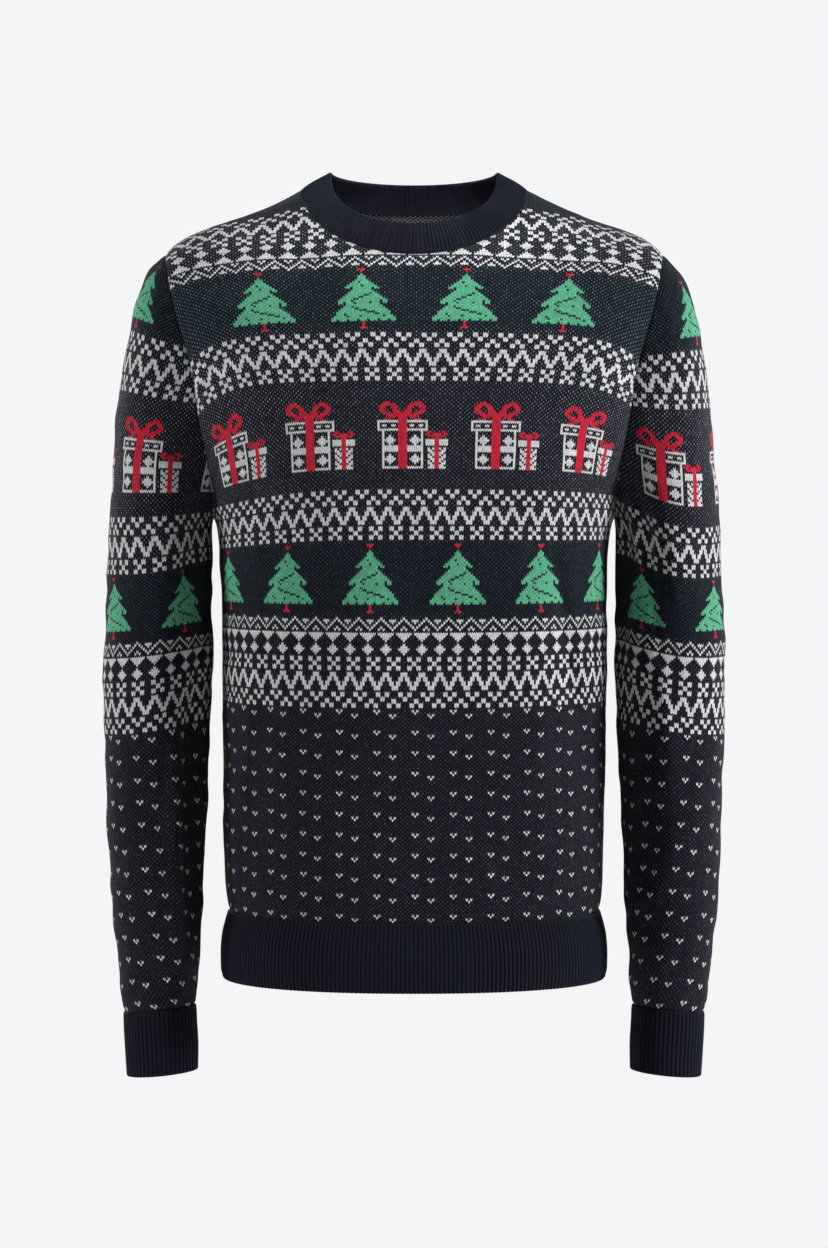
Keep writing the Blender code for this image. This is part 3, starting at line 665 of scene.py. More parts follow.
# %% Charts
CHARTS = {
    "checkers": (
        "ww..ww....", "ww..ww....", "..ww......", "..ww...ww.", ".......ww.", "w....ww..w", "w....ww..w",
    ),
    "zigzag": (
        "ww.....w", "ww.....w", ".ww...ww", ".ww...ww", "..ww.ww.", "..ww.ww.", "...www..", "...www..",
    ),
    "crosses": ("ww..ww...", "ww..ww...", "..ww.....", "..ww.....", "ww..ww...", "ww..ww..."),
    "specks": ("w.w..............", ".w...............", ".......w.w.......", "........w........"),
    "diamonds": ("...w....", "..www...", ".wwwww..", "..www...", "...w...."),
    "triangles": ("wwwwwww.", ".wwwww..", "..www...", "...w...."),
    "lattice": ("w.........", ".w..www..w", "..w..w..w.", "...w...w..", "w...w.w...", ".w...w...w"),
    "trees": (
        "...........rrr...........",
        "............r............",
        ".........................",
        "............g............",
        "...........ggg...........",
        "...........ggg...........",
        "..........ggggg..........",
        ".........gg.gggg.........",
        "........ggggggggg........",
        ".......ggggg.ggggg.......",
        "......gg.ggggggg.gg......",
        ".........ggggggg.........",
        "........ggggggggg........",
        ".......gggggggg.gg.......",
        "......ggggggg..gggg......",
        ".....gggggg..ggggggg.....",
        "....ggggg..gggggggggg....",
        "...ggggg.gggggggggg.gg...",
        "...gg.ggg.ggggg.ggg.gg...",
        "......ggggggggggggg......",
        ".....ggg.ggggggggggg.....",
        "....ggggg..gggggggggg....",
        "...gggggggg...gggggggg...",
        "..gggggggggggg...gggggg..",
        "..ggg.ggggggggggg..gggg..",
        ".ggggg.gggg.gggggggg.ggg.",
        "ggggggggggggggggggggggggg",
        "gg.ggg.ggg.ggg.ggg.ggg.gg",
        "............r............",
        "............r............",
        "............r............",
        "...........rrr...........",
    ),
    "presents": (
        "....rrr..........rrr............",
        "...rrrrrr......rrrrrr...........",
        "..rrr..rrr....rrr..rrr..........",
        "..rr....rr....rr....rr..........",
        "..rrr...rrr..rrr...rrr..........",
        "...rrrr.rrrrrrrr.rrrr...........",
        ".....rrrrrrrrrrrrrr.............",
        "......rrr.rrrr.rrr..............",
        "....rrr...rrrr...rrr............",
        ".wwwwwwwwwrrrrwwwwwwwww.........",
        ".w........rrrr........w.........",
        ".w.ww..ww.rrrr.ww..ww.w.........",
        ".w........rrrr........w.........",
        ".wwwwwwwwwrrrrwwwwwwwww.........",
        "...w......rrrr......w..rr....rr.",
        "...w......rrrr......w.rr.rrrr.rr",
        "...w..w...rrrr...w..w..rrrrrrrr.",
        "...w.www..rrrr..www.w.....rr....",
        "...wwwwww.rrrr.wwwwww.wwwwrrwwww",
        "...w.www..rrrr..www.w.wwwwrrwwww",
        "...w..w...rrrr...w..w.wwwwrrwwww",
        "...wwwwwwwrrrrwwwwwww.....rr....",
        "...wwwwwwwrrrrwwwwwww..w.wrrw.w.",
        "...wwwwwwwrrrrwwwwwww..ww.rr.ww.",
        "...w......rrrr......w...wwrrww..",
        "...w..w...rrrr...w..w..w.wrrw.w.",
        "...w.www..rrrr..www.w..ww.rr.ww.",
        "...wwwwww.rrrr.wwwwww...wwrrww..",
        "...w.www..rrrr..www.w..w.wrrw.w.",
        "...w..w...rrrr...w..w..ww.rr.ww.",
        "...w......rrrr......w...wwrrww..",
        "...wwwwwwwrrrrwwwwwww..wwwrrwww.",
    ),
}
# Stitches from one tree or present to the next: the rest of a row is ground
REPEATS = {"trees": 39, "presents": 41}
for figure, repeat in REPEATS.items():
    CHARTS[figure] = tuple(row.ljust(repeat, ".") for row in CHARTS[figure])
print({name: (len(rows[0]), len(rows)) for name, rows in CHARTS.items()})

# %% [markdown]
# ## Bands up the garment
# The bands table says which chart fills which courses, where its first column starts, and whether it is
# turned upside down, as at the yoke. Below the first band, specks come back every ten courses. The charts
# are gathered on pages of 32 rows at most, because a colour ramp takes no more stops than that.

# %% Bands and pages
PAGES = (
    ("checkers", "zigzag", "crosses", "specks"),
    ("diamonds", "triangles", "lattice"),
    ("trees",),
    ("presents",),
)
BAND_COLUMNS = ("lowest", "chart", "first_wale", "upside_down")
BANDS = (
    (1, "specks", -1, False),
    (106, "checkers", -7, False),
    (114, "zigzag", -5, False),
    (123, "crosses", -3, False),
    (130, "diamonds", -8, False),
    (136, "triangles", -8, False),
    (141, "lattice", -5, False),
    (149, "trees", 7, False),
    (183, "crosses", -2, False),
    (190, "zigzag", -4, False),
    (199, "checkers", -6, False),
    (216, "presents", -17, False),
    (258, "crosses", -2, False),
    (265, "zigzag", -5, False),
    (274, "checkers", -7, False),
    (283, "trees", 7, False),
    (316, "lattice", 3, True),
    (323, "triangles", -2, True),
    (328, "diamonds", -2, True),
    (334, "crosses", -3, True),
    (341, "zigzag", -5, True),
    (350, "checkers", -7, True),
)
SPECKS_BELOW, SPECKS_EVERY = 106, 10
PAGE_ROWS, HALF_CHART, PLAN_COURSES = 32, 20, 128
ROW_OFFSET, NO_ROW = 512.0, 128.0
BLOCKS, TREE_PAGE = 3, PAGES.index(("trees",))

# Courses from this one on are plain, and the jump takes a course of the top rows past all the charts
PLAIN_FROM, PAST_ALL_CHARTS = 360, 78

page_rows = []
chart_start = {}
for page, names in enumerate(PAGES):
    rows = []
    for name in names:
        chart_start[name] = page * PAGE_ROWS + len(rows)
        rows += CHARTS[name]
    page_rows.append(rows)
print({page: len(rows) for page, rows in enumerate(page_rows)}, "chart rows on each page")

# %% [markdown]
# ## Shaders that can count
# A shader has no squared paper, but a colour ramp with hard steps is a short list of numbers. One chart row
# becomes a binary fraction: the first stitch is the half, the next the quarter, and so on. Doubling it once
# for each column and looking at the half again gives back the one stitch that is asked for.

# %% Node helper and ramps as lists
MATH, MIX, RAMP = "ShaderNodeMath", "ShaderNodeMix", "ShaderNodeValToRGB"


def linear(code):
    """A linear colour from a screen colour written as six hexadecimal digits."""
    parts = [int(code[i : i + 2], 16) / 255 for i in (1, 3, 5)]
    return [c / 12.92 if c <= 0.04045 else ((c + 0.055) / 1.055) ** 2.4 for c in parts] + [1.0]


def add(tree, kind, sockets=(), **settings):
    """Adds a node with its settings, links or fills its sockets, and gives back its outputs."""
    made = tree.nodes.new(kind)
    for name, value in settings.items():
        setattr(made, name, value)
    for key, value in sockets.items() if isinstance(sockets, dict) else enumerate(sockets):
        if isinstance(value, bpy.types.NodeSocket):
            tree.links.new(value, made.inputs[key])
        else:
            made.inputs[key].default_value = value
    return made.outputs


def add_rows(tree, known, kind, setting, rows):
    """Adds a node for each row: its name, its setting, then its terms: numbers, or names of earlier ones."""
    for name, value, *terms in rows:
        sockets = [known[term] if isinstance(term, str) else term for term in terms]
        known[name] = add(tree, kind, sockets, **{setting: value})[0]


def hard_steps(ramp, stops):
    """Gives a colour ramp its (position, four numbers) stops, with no blending between them."""
    ramp.interpolation = "CONSTANT"
    while len(ramp.elements) < len(stops):
        ramp.elements.new(1.0)
    for element, (position, _) in zip(ramp.elements, stops):
        element.position = position
    for element, (_, numbers) in zip(ramp.elements, stops):
        element.color = numbers


def read_lists(tree, lists):
    """Reads each list, as (place in it, its stops, test), and keeps the last one whose test is 1."""
    colour, alpha = (0.0, 0.0, 0.0, 1.0), 0.0
    for at, stops, here in lists:
        own_colour, own_alpha = add(tree, RAMP, (at,))
        hard_steps(own_colour.node.color_ramp, stops)
        colour = add(tree, MIX, {0: here, 6: colour, 7: own_colour}, data_type="RGBA")[2]
        alpha = add(tree, MIX, {0: here, 2: alpha, 3: own_alpha}, data_type="FLOAT")[0]
    return *add(tree, "ShaderNodeSeparateColor", (colour,)), alpha


def row_numbers(row):
    """A chart row as four binary fractions: both digits of its first 20 stitches, then both of the rest."""
    digits = {".": (0, 0), "w": (1, 0), "g": (0, 1), "r": (1, 1)}
    numbers = []
    for half in (row[:HALF_CHART], row[HALF_CHART : 2 * HALF_CHART]):
        for digit in (0, 1):
            value = sum(digits[s][digit] * 2.0 ** -(k + 1) for k, s in enumerate(half))
            numbers.append(value + 2.0 ** -(HALF_CHART + 1))
    return numbers


def plan_stops(block):
    """The bands that fall in one block of courses, with plain ground between them."""
    plain = [1.0, 0.0, ROW_OFFSET + NO_ROW, 0.5]
    low = block * PLAN_COURSES
    stops = {low: plain}
    for band in named(BAND_COLUMNS, BANDS):
        chart = CHARTS[band["chart"]]
        first, after = band["lowest"], band["lowest"] + len(chart)
        if after <= low or first >= low + PLAN_COURSES:
            continue
        start, period = chart_start[band["chart"]], len(chart[0])
        offset = start - first if band["upside_down"] else start + after - 1
        numbers = period, band["first_wale"] % period, ROW_OFFSET + offset, band["upside_down"]
        stops[max(first, low)] = [float(number) for number in numbers]
        stops.setdefault(after, plain)
    kept = sorted((course, numbers) for course, numbers in stops.items() if course < low + PLAN_COURSES)
    return [((course - low) / PLAN_COURSES, numbers) for course, numbers in kept]


print("stops in each plan:", [len(plan_stops(block)) for block in range(BLOCKS)])

# %% [markdown]
# ## Which yarn is on top
# Each stitch is a V of two legs. Raising the edges of a course away from the middle of its wale turns the
# straight rows of squared paper into rows of Vs, which gives every figure its fine-toothed outline. Each
# table here is a sum worked out step by step: a name, what is done, and the numbers or names it is done to.

# %% Stitch reader
# How far the legs of a V rise, in courses, and how near a page's number has to be to count as that page
LEG_RISE, SAME = 0.85, 0.25

ACROSS = (
    ("part_across", "FRACT", "u"),
    ("from_middle", "SUBTRACT", "part_across", 0.5),
    ("either_way", "ABSOLUTE", "from_middle"),
    ("off_middle", "MULTIPLY", "either_way", 2.0),
)
STITCH = (
    ("wale", "FLOOR", "u"),
    ("lowest", "ADD", "v", LEG_RISE / 2),
    ("raised", "MULTIPLY_ADD", "off_middle", -LEG_RISE, "lowest"),
    ("course", "FLOOR", "raised"),
    ("up", "FRACT", "raised"),
    ("course_middle", "ADD", "course", 0.5),
    ("in_repeat", "FLOORED_MODULO", "course_middle", SPECKS_EVERY),
    ("speck_row", "FLOOR", "in_repeat"),
    ("in_specks", "LESS_THAN", "course", SPECKS_BELOW - 0.5),
)
ON_THE_CHART = (
    ("direction", "MULTIPLY_ADD", "upside_down", 2.0, -1.0),
    ("counted", "MULTIPLY_ADD", "direction", "row", -ROW_OFFSET),
    ("chart_row", "ADD", "counted", "offset"),
    ("in_pages", "MULTIPLY_ADD", "chart_row", 1 / PAGE_ROWS, 0.5 / PAGE_ROWS),
    ("page", "FLOOR", "in_pages"),
    ("page_row", "MULTIPLY_ADD", "page", -float(PAGE_ROWS), "chart_row"),
    ("on_page", "MULTIPLY_ADD", "page_row", 1 / PAGE_ROWS, 0.5 / PAGE_ROWS),
    ("wale_middle", "ADD", "wale", 0.5),
    ("from_first", "SUBTRACT", "wale_middle", "first_wale"),
    ("in_period", "FLOORED_MODULO", "from_first", "period"),
    ("column", "FLOOR", "in_period"),
    ("second_half", "GREATER_THAN", "column", HALF_CHART - 0.5),
    ("half_column", "MULTIPLY_ADD", "second_half", -float(HALF_CHART), "column"),
    ("doubled", "POWER", 2.0, "half_column"),
    ("past_charts", "GREATER_THAN", "row", PLAIN_FROM - 0.5),
)


def stitch_place(tree):
    """The cloth's own stitch map: u counts the wales and v the courses."""
    place = add(tree, "ShaderNodeUVMap", uv_map="stitches")[0]
    s = dict(zip("uv", add(tree, "ShaderNodeSeparateXYZ", (place,))))
    add_rows(tree, s, MATH, "operation", ACROSS)
    return s


def read_stitches(tree):
    """The place in the stitch, its numbers, and the two digits of its yarn."""
    s = stitch_place(tree)
    add_rows(tree, s, MATH, "operation", STITCH)
    s["row"] = add(tree, MIX, {0: s["in_specks"], 2: s["course"], 3: s["speck_row"]}, data_type="FLOAT")[0]
    plans = []
    for block in range(BLOCKS):
        in_block = 1 / PLAN_COURSES, 0.75 / PLAN_COURSES - block
        add_rows(tree, s, MATH, "operation", (
            ("in_plan", "MULTIPLY_ADD", "row", *in_block),
            ("past", "GREATER_THAN", "row", block * PLAN_COURSES - 0.5),
        ))
        plans.append((s["in_plan"], plan_stops(block), s["past"]))
    s.update(zip(("period", "first_wale", "offset", "upside_down"), read_lists(tree, plans)))
    add_rows(tree, s, MATH, "operation", ON_THE_CHART)
    pages = []
    for number, rows in enumerate(page_rows):
        stops = [(k / PAGE_ROWS, row_numbers(text)) for k, text in enumerate(rows)]
        here = add(tree, MATH, (s["page"], float(number), SAME), operation="COMPARE")[0]
        pages.append((s["on_page"], stops, here))
    early_first, early_second, late_first, late_second = read_lists(tree, pages)
    for digit, early, late in (("first", early_first, late_first), ("second", early_second, late_second)):
        s["half"] = add(tree, MIX, {0: s["second_half"], 2: early, 3: late}, data_type="FLOAT")[0]
        add_rows(tree, s, MATH, "operation", (
            ("shifted", "MULTIPLY", "half", "doubled"),
            ("after_point", "FRACT", "shifted"),
            (digit, "GREATER_THAN", "after_point", 0.5),
        ))
    return s


print("pattern reader ready:", len(ACROSS + STITCH + ON_THE_CHART), "steps")

# %% [markdown]
# ## Yarn
# Acrylic and cotton yarn is matt, with a faint bloom of loose fibre that sheen imitates. A leg of a stitch
# is a little bolster, with painted shade darkening it where it dives under its neighbours. On plain ground
# the floats of the light yarn behind show as flecks, every second stitch and turn about. They are weak low
# down, and strongest where the cloth is pulled open at the sides of the chest and on the upper sleeves.

# %% Yarn colours and the shape of a stitch
NAVY, RIB_NAVY = linear("#141724"), linear("#161927")
WHITE, GREEN, RED = linear("#f2f2f3"), linear("#70d0a4"), linear("#ec2f47")
FLECK_GREY, FLECK_TEAL = linear("#a9adb6"), linear("#6f9399")
FLECK_WIDTH, FLECK_HEIGHT, FLECK_UP = 0.30, 0.42, 0.45
LEAST_FLECK, UNEVEN_FLECK, FLECK_POWER = 0.35, 1.5, 3.0
# DARKEST and RIB_DARKEST: how dark the painted shade gets between stitch legs and between rib cords
DARKEST, RIB_DARKEST, RIB_SLANT, RIB_WAIST = 0.28, 0.25, 0.9, 0.55
LEAST_DYE, UNEVEN_DYE = 0.85, 0.30
GRIN_BY_WHITE, GRIN_BY_GREEN = 0.06, 0.24
INNER_SLOPE, INNER_START, OUTER_SLOPE = 4.0, 0.10, 2.6
JACQUARD_RELIEF, RIB_RELIEF, BUMP_STRENGTH = 0.0004, 0.0003, 0.7
FINISH = {"Roughness": 0.92, "Specular IOR Level": 0.12, "Sheen Weight": 0.04, "Sheen Roughness": 0.5}

BOLSTER = (
    ("down", "SUBTRACT", 1.0, "up"),
    ("product", "MULTIPLY", "up", "down"),
    ("arch", "MULTIPLY", "product", 4.0),
)
# 1 along the middle of each leg and 0 where it meets its neighbours
LEGS = BOLSTER + (
    ("positive", "MAXIMUM", "arch", 0.0),
    ("bolster", "SQRT", "positive"),
    ("inner", "MULTIPLY_ADD", "off_middle", INNER_SLOPE, INNER_START),
    ("off_side", "SUBTRACT", 1.0, "off_middle"),
    ("outer", "MULTIPLY", "off_side", OUTER_SLOPE),
    ("nearer", "MINIMUM", "inner", "outer"),
    ("split", "MINIMUM", "nearer", 1.0),
    ("legs", "MULTIPLY", "bolster", "split"),
)
EVERY_SECOND = (
    ("diagonal", "ADD", "wale", "course"),
    ("diagonal_middle", "ADD", "diagonal", 0.5),
    ("parity", "FLOORED_MODULO", "diagonal_middle", 2.0),
    ("every_second", "LESS_THAN", "parity", 1.0),
)
DASHES = (("dash", "MULTIPLY", "every_second", "legs"),)
# A dot between two wales, on every second one, turn about
FLECKS = (
    ("nearest", "ROUND", "u"),
    ("aside", "SUBTRACT", "u", "nearest"),
    ("du", "DIVIDE", "aside", FLECK_WIDTH),
    ("above", "SUBTRACT", "up", FLECK_UP),
    ("dv", "DIVIDE", "above", FLECK_HEIGHT),
    ("du_squared", "MULTIPLY", "du", "du"),
    ("dv_squared", "MULTIPLY", "dv", "dv"),
    ("distance", "ADD", "du_squared", "dv_squared"),
    ("nearness", "SUBTRACT", 1.0, "distance"),
    ("spot", "MAXIMUM", "nearness", 0.0),
    ("between", "ADD", "nearest", "course"),
    ("between_middle", "ADD", "between", 0.5),
    ("turn", "FLOORED_MODULO", "between_middle", 2.0),
    ("its_turn", "LESS_THAN", "turn", 1.0),
    ("dot", "MULTIPLY", "spot", "its_turn"),
    ("powered", "POWER", "uneven", FLECK_POWER),
    ("share", "MULTIPLY_ADD", "powered", UNEVEN_FLECK, LEAST_FLECK),
    ("strength", "MULTIPLY", "stretch", "share"),
    ("strong_dot", "MULTIPLY", "dot", "strength"),
    ("figured", "MAXIMUM", "first", "second"),
    ("plain", "SUBTRACT", 1.0, "figured"),
    ("on_plain", "MULTIPLY", "strong_dot", "plain"),
    ("fleck", "MINIMUM", "on_plain", 1.0),
    ("in_trees", "COMPARE", "page", float(TREE_PAGE), SAME),
    ("by_trees", "MAXIMUM", "in_trees", "past_charts"),
)
# Painted shade between the legs, tone a little unlike from stitch to stitch, and dimmed where navy grins
# through
SHADE = (
    ("lit", "MULTIPLY_ADD", "legs", 1 - DARKEST, DARKEST),
    ("dyed", "MULTIPLY_ADD", "uneven", UNEVEN_DYE, LEAST_DYE),
    ("uneven_lit", "MULTIPLY", "lit", "dyed"),
    ("grin", "MULTIPLY", "every_second", "grin_depth"),
    ("left_over", "SUBTRACT", 1.0, "grin"),
    ("shade", "MULTIPLY", "uneven_lit", "left_over"),
)
RIB_LEGS = (
    ("raised", "MULTIPLY_ADD", "off_middle", -RIB_SLANT, "v"),
    ("up", "FRACT", "raised"),
)
# Ribbing's painted shade: colour darkened in the line between cords and where each stitch dives under the
# next; the same height is also the bump
RIB = RIB_LEGS + BOLSTER + (
    ("squared", "MULTIPLY", "off_middle", "off_middle"),
    ("ridge", "SUBTRACT", 1.0, "squared"),
    ("waist", "MULTIPLY_ADD", "arch", 1 - RIB_WAIST, RIB_WAIST),
    ("height", "MULTIPLY", "ridge", "waist"),
    ("shade", "MULTIPLY_ADD", "height", 1 - RIB_DARKEST, RIB_DARKEST),
)
print("a stitch takes", len(LEGS + EVERY_SECOND + FLECKS + SHADE), "steps more, a rib", len(RIB))

# %% [markdown]
# ## Three kinds of knitting
# The steps now run in a material for each face of the cloth: the jacquard's outside, with its figures, its
# inside, with the yarns that rest there, and the plain ribbing. All three are spun from the same yarn, so
# they share one matt finish.

# %% Jacquard, its reverse, and ribbing
def new_material(name):
    material = bpy.data.materials.new(name)
    material.use_nodes = True
    return material


def finish_yarn(tree, colour, height, relief):
    """Matt spun yarn: hardly any gloss, a faint bloom of fibre, and the stitches' own relief as bump."""
    shader = tree.nodes["Principled BSDF"]
    bump = add(tree, "ShaderNodeBump", {"Strength": BUMP_STRENGTH, "Distance": relief, "Height": height})[0]
    tree.links.new(colour, shader.inputs["Base Color"])
    tree.links.new(bump, shader.inputs["Normal"])
    for name, value in FINISH.items():
        shader.inputs[name].default_value = value


def jacquard_material():
    """Jacquard is knitted from all its yarns at once: the one that a chart calls up lies on the face, and
    the eye sees crisp Vs of flat colour, with painted shade between their legs and flecks of the yarn behind."""
    material = new_material("jacquard_knit_acrylic_cotton")
    tree = material.node_tree
    s = read_stitches(tree)
    seed = add(tree, "ShaderNodeCombineXYZ", (s["wale"], s["course"]))[0]
    s["uneven"] = add(tree, "ShaderNodeTexWhiteNoise", {"Vector": seed}, noise_dimensions="2D")["Value"]
    s["stretch"] = add(tree, "ShaderNodeAttribute", attribute_name="stretch")["Fac"]
    grins = {0: s["second"], 2: GRIN_BY_WHITE, 3: GRIN_BY_GREEN}
    s["grin_depth"] = add(tree, MIX, grins, data_type="FLOAT")[0]
    add_rows(tree, s, MATH, "operation", LEGS + EVERY_SECOND + SHADE + FLECKS)
    # Painted shade between the legs, times the uneven tone and the grin-through, as a grey that multiplies
    # the yarn colour
    s["grey"] = add(tree, "ShaderNodeCombineColor", [s["shade"]] * 3)[0]
    for name, factor, low, high, how in (
        ("ground", s["second"], NAVY, GREEN, "MIX"),
        ("figure", s["second"], WHITE, RED, "MIX"),
        ("yarn", s["first"], "ground", "figure", "MIX"),
        ("shaded", 1.0, "yarn", "grey", "MULTIPLY"),
        ("fleck_yarn", s["by_trees"], FLECK_GREY, FLECK_TEAL, "MIX"),
        ("colour", s["fleck"], "shaded", "fleck_yarn", "MIX"),
    ):
        low, high = (s[end] if isinstance(end, str) else end for end in (low, high))
        s[name] = add(tree, MIX, {0: factor, 6: low, 7: high}, data_type="RGBA", blend_type=how)[2]
    finish_yarn(tree, s["colour"], s["legs"], JACQUARD_RELIEF)
    return material


def reverse_material():
    """Inside, the yarns that aren't on the face are caught at every second stitch, which gives the eye an
    even birdseye of light dashes on navy."""
    material = new_material("jacquard_knit_reverse_side")
    tree = material.node_tree
    s = read_stitches(tree)
    add_rows(tree, s, MATH, "operation", LEGS + EVERY_SECOND + DASHES)
    yarn = add(tree, MIX, {0: s["dash"], 6: NAVY, 7: WHITE}, data_type="RGBA")[2]
    finish_yarn(tree, yarn, s["legs"], JACQUARD_RELIEF)
    return material


def rib_material():
    """Ribbing is plain navy, knitted tight: close cords, with painted shade darkening the line between them.
    """
    material = new_material("rib_knit_acrylic_cotton")
    tree = material.node_tree
    s = stitch_place(tree)
    add_rows(tree, s, MATH, "operation", RIB)
    # The painted shade between the cords, as a grey that multiplies the rib navy
    grey = add(tree, "ShaderNodeCombineColor", [s["shade"]] * 3)[0]
    colour = add(tree, MIX, {0: 1.0, 6: RIB_NAVY, 7: grey}, data_type="RGBA", blend_type="MULTIPLY")[2]
    finish_yarn(tree, colour, s["height"], RIB_RELIEF)
    return material


jacquard = jacquard_material()
reverse = reverse_material()
ribbing = rib_material()
print("jacquard shader has", len(jacquard.node_tree.nodes), "nodes")

# %% [markdown]
# ## Sewing edge to edge
# Where two pieces meet, their points are the same and their normals are shared, so the two walls stand edge
# to edge with a hair's gap, as after sewing. Near a seam the cloth is drawn down a little, which leaves the
# soft groove that a linked seam makes.

# %% Seams
SEAM_GAP, GROOVE_DEPTH, GROOVE_WIDTH = 0.0001, 0.55, 0.0022
LEAST_CORNER, LEAST_SEAM_COSINE = 0.4, 0.6
LIKE_NORMALS, SAME_PLACE = 0.9, 6


def share_seam_normals(sheets):
    """Where the edges of sheets have a point in common, gives it one normal: the mean of unlike ones."""
    met, edges = {}, []
    for sheet in sheets.values():
        rows, columns = sheet["grid"].shape[:2]
        at = {(i, k) for i in (0, rows - 1) for k in range(columns)}
        if not sheet["closed"]:
            at |= {(i, k) for i in range(rows) for k in (0, columns - 1)}
        sheet["scale"] = np.ones((rows, columns))
        for i, k in sorted(at):
            place = tuple(np.round(sheet["grid"][i, k], SAME_PLACE))
            met.setdefault(place, []).append(sheet["normals"][i, k].copy())
            edges.append((sheet, i, k, place))
    for sheet, i, k, place in edges:
        if len(met[place]) == 1:
            continue
        unlike = []
        for normal in met[place]:
            if all(normal @ other < LIKE_NORMALS for other in unlike):
                unlike.append(normal)
        shared = unit(np.sum(unlike, axis=0))
        sheet["scale"][i, k] = 1 / max(LEAST_SEAM_COSINE, shared @ sheet["normals"][i, k])
        sheet["normals"][i, k] = shared


def off_the_seam(edge, inside, normals, closed):
    """At each point of a sewn edge, the move that takes the steps on both sides of it one unit off."""
    steps = np.roll(edge, -1, axis=0) - edge
    if not closed:
        steps[-1] = steps[-2]
    before = np.roll(steps, 1, axis=0)
    if not closed:
        before[0] = steps[0]
    moves = []
    for step in (steps, before):
        square = unit(np.cross(step, normals))
        moves.append(square * np.sign(np.sum(square * (inside - edge), axis=1))[:, None])
    agree = 1 + np.sum(moves[0] * moves[1], axis=1)
    return (moves[0] + moves[1]) / np.maximum(agree, LEAST_CORNER)[:, None]


def draw_back(sheet):
    """Moves the sewn edges of a sheet half a seam gap away from the seam, square to it."""
    grid, normals = sheet["grid"], sheet["normals"]
    moved = grid.copy()
    for axis, at, inner in sheet["sewn"]:
        place = (at, slice(None)) if axis == 0 else (slice(None), at)
        next_to = (inner, slice(None)) if axis == 0 else (slice(None), inner)
        goes_round = sheet["closed"] and axis == 0
        moved[place] += off_the_seam(grid[place], grid[next_to], normals[place], goes_round) * SEAM_GAP / 2
    sheet["grid"] = moved


def seam_distance(sheet):
    """How far each point is from its sheet's nearest sewn edge, along its row or column."""
    nearest = np.full(sheet["grid"].shape[:2], 1.0)
    for axis, at, _ in sheet["sewn"]:
        steps = np.linalg.norm(np.diff(sheet["grid"], axis=axis), axis=2)
        if at:
            steps = np.flip(steps, axis)
        length = np.insert(np.cumsum(steps, axis=axis), 0, 0.0, axis=axis)
        nearest = np.minimum(nearest, np.flip(length, axis) if at else length)
    return nearest


BOTTOM, TOP, LEFT_EDGE, RIGHT_EDGE = (0, 0, 1), (0, -1, -2), (1, 0, 1), (1, -1, -2)
ALL_EDGES = (BOTTOM, TOP, LEFT_EDGE, RIGHT_EDGE)
sheets = {
    "front_panel": {"grid": front, "closed": False, "sewn": ALL_EDGES, "wall": WALL},
    "back_panel": {"grid": back, "closed": False, "sewn": ALL_EDGES, "wall": WALL},
    "left_sleeve": {"grid": left_sleeve, "closed": True, "sewn": (BOTTOM, TOP), "wall": WALL},
    "right_sleeve": {"grid": right_sleeve, "closed": True, "sewn": (BOTTOM, TOP), "wall": WALL},
    "neckband": {"grid": neckband, "closed": True, "sewn": (BOTTOM,), "wall": RIB_WALL},
    "hem_rib": {"grid": hem, "closed": True, "sewn": (BOTTOM,), "wall": RIB_WALL},
    "left_cuff": {"grid": MIRROR * cuff, "closed": True, "sewn": (BOTTOM,), "wall": RIB_WALL},
    "right_cuff": {"grid": cuff, "closed": True, "sewn": (BOTTOM,), "wall": RIB_WALL},
}
for sheet in sheets.values():
    sheet["normals"] = grid_normals(sheet["grid"], sheet["closed"])
share_seam_normals(sheets)
for sheet in sheets.values():
    draw_back(sheet)
    sheet["from_seam"] = seam_distance(sheet)
print("seams shared between", len(sheets), "pieces")

# %% [markdown]
# ## Ribs that stand up
# A rib is a wale of knit stitches that stands proud between two that sink back. They are real ridges here,
# six points to each, so that they catch the light and show along the edge of the neck. The band's sheet is
# first read at more points round it, then each point is moved along its normal.

# %% Knit the ribs
RIB_COLUMNS = ("ribs", "height", "course")
RIBS = {
    "neckband": (176, 0.0010, 0.0022),
    "hem_rib": (250, 0.0008, 0.0023),
    "left_cuff": (50, 0.0008, 0.0022),
    "right_cuff": (50, 0.0008, 0.0022),
}
POINTS_PER_RIB, RIB_FADE, RIB_FULLNESS = 6, 0.0030, 0.8


def places_round(grid, count):
    """Where along a closed ring of points to read it for a number of points at equal steps of its length."""
    middle = grid[len(grid) // 2]
    steps = np.linalg.norm(np.roll(middle, -1, axis=0) - middle, axis=1)
    length = np.concatenate([[0], np.cumsum(steps)])
    return np.interp(np.arange(count) * length[-1] / count, length, np.arange(len(length)))


def resampled(values, at):
    low = np.floor(at).astype(int) % values.shape[1]
    part = (at - np.floor(at)).reshape((1, -1) + (1,) * (values.ndim - 2))
    return values[:, low] * (1 - part) + values[:, (low + 1) % values.shape[1]] * part


for name, row in RIBS.items():
    rib, sheet = dict(zip(RIB_COLUMNS, row)), sheets[name]
    count = rib["ribs"] * POINTS_PER_RIB
    at = places_round(sheet["grid"], count)
    for key in ("grid", "normals", "scale", "from_seam"):
        sheet[key] = resampled(sheet[key], at)
    sheet["normals"] = unit(sheet["normals"])
    turn = np.arange(count) / POINTS_PER_RIB
    ridge = np.abs(np.sin(np.pi * turn)) ** RIB_FULLNESS - 0.5
    grown = smooth_step(sheet["from_seam"], 0.0, RIB_FADE)
    sheet["relief"] = rib["height"] * ridge[None, :] * grown
    length = np.linalg.norm(np.diff(sheet["grid"], axis=0), axis=2).mean(axis=1)
    courses = np.concatenate([[0], np.cumsum(length)]) / rib["course"]
    sheet["courses"] = np.repeat(courses[:, None], count + 1, axis=1)
    sheet["from_wales"] = np.repeat(turn[None, :], len(courses), axis=0)
    sheet["to_wales"] = sheet["from_wales"] + 1 / POINTS_PER_RIB
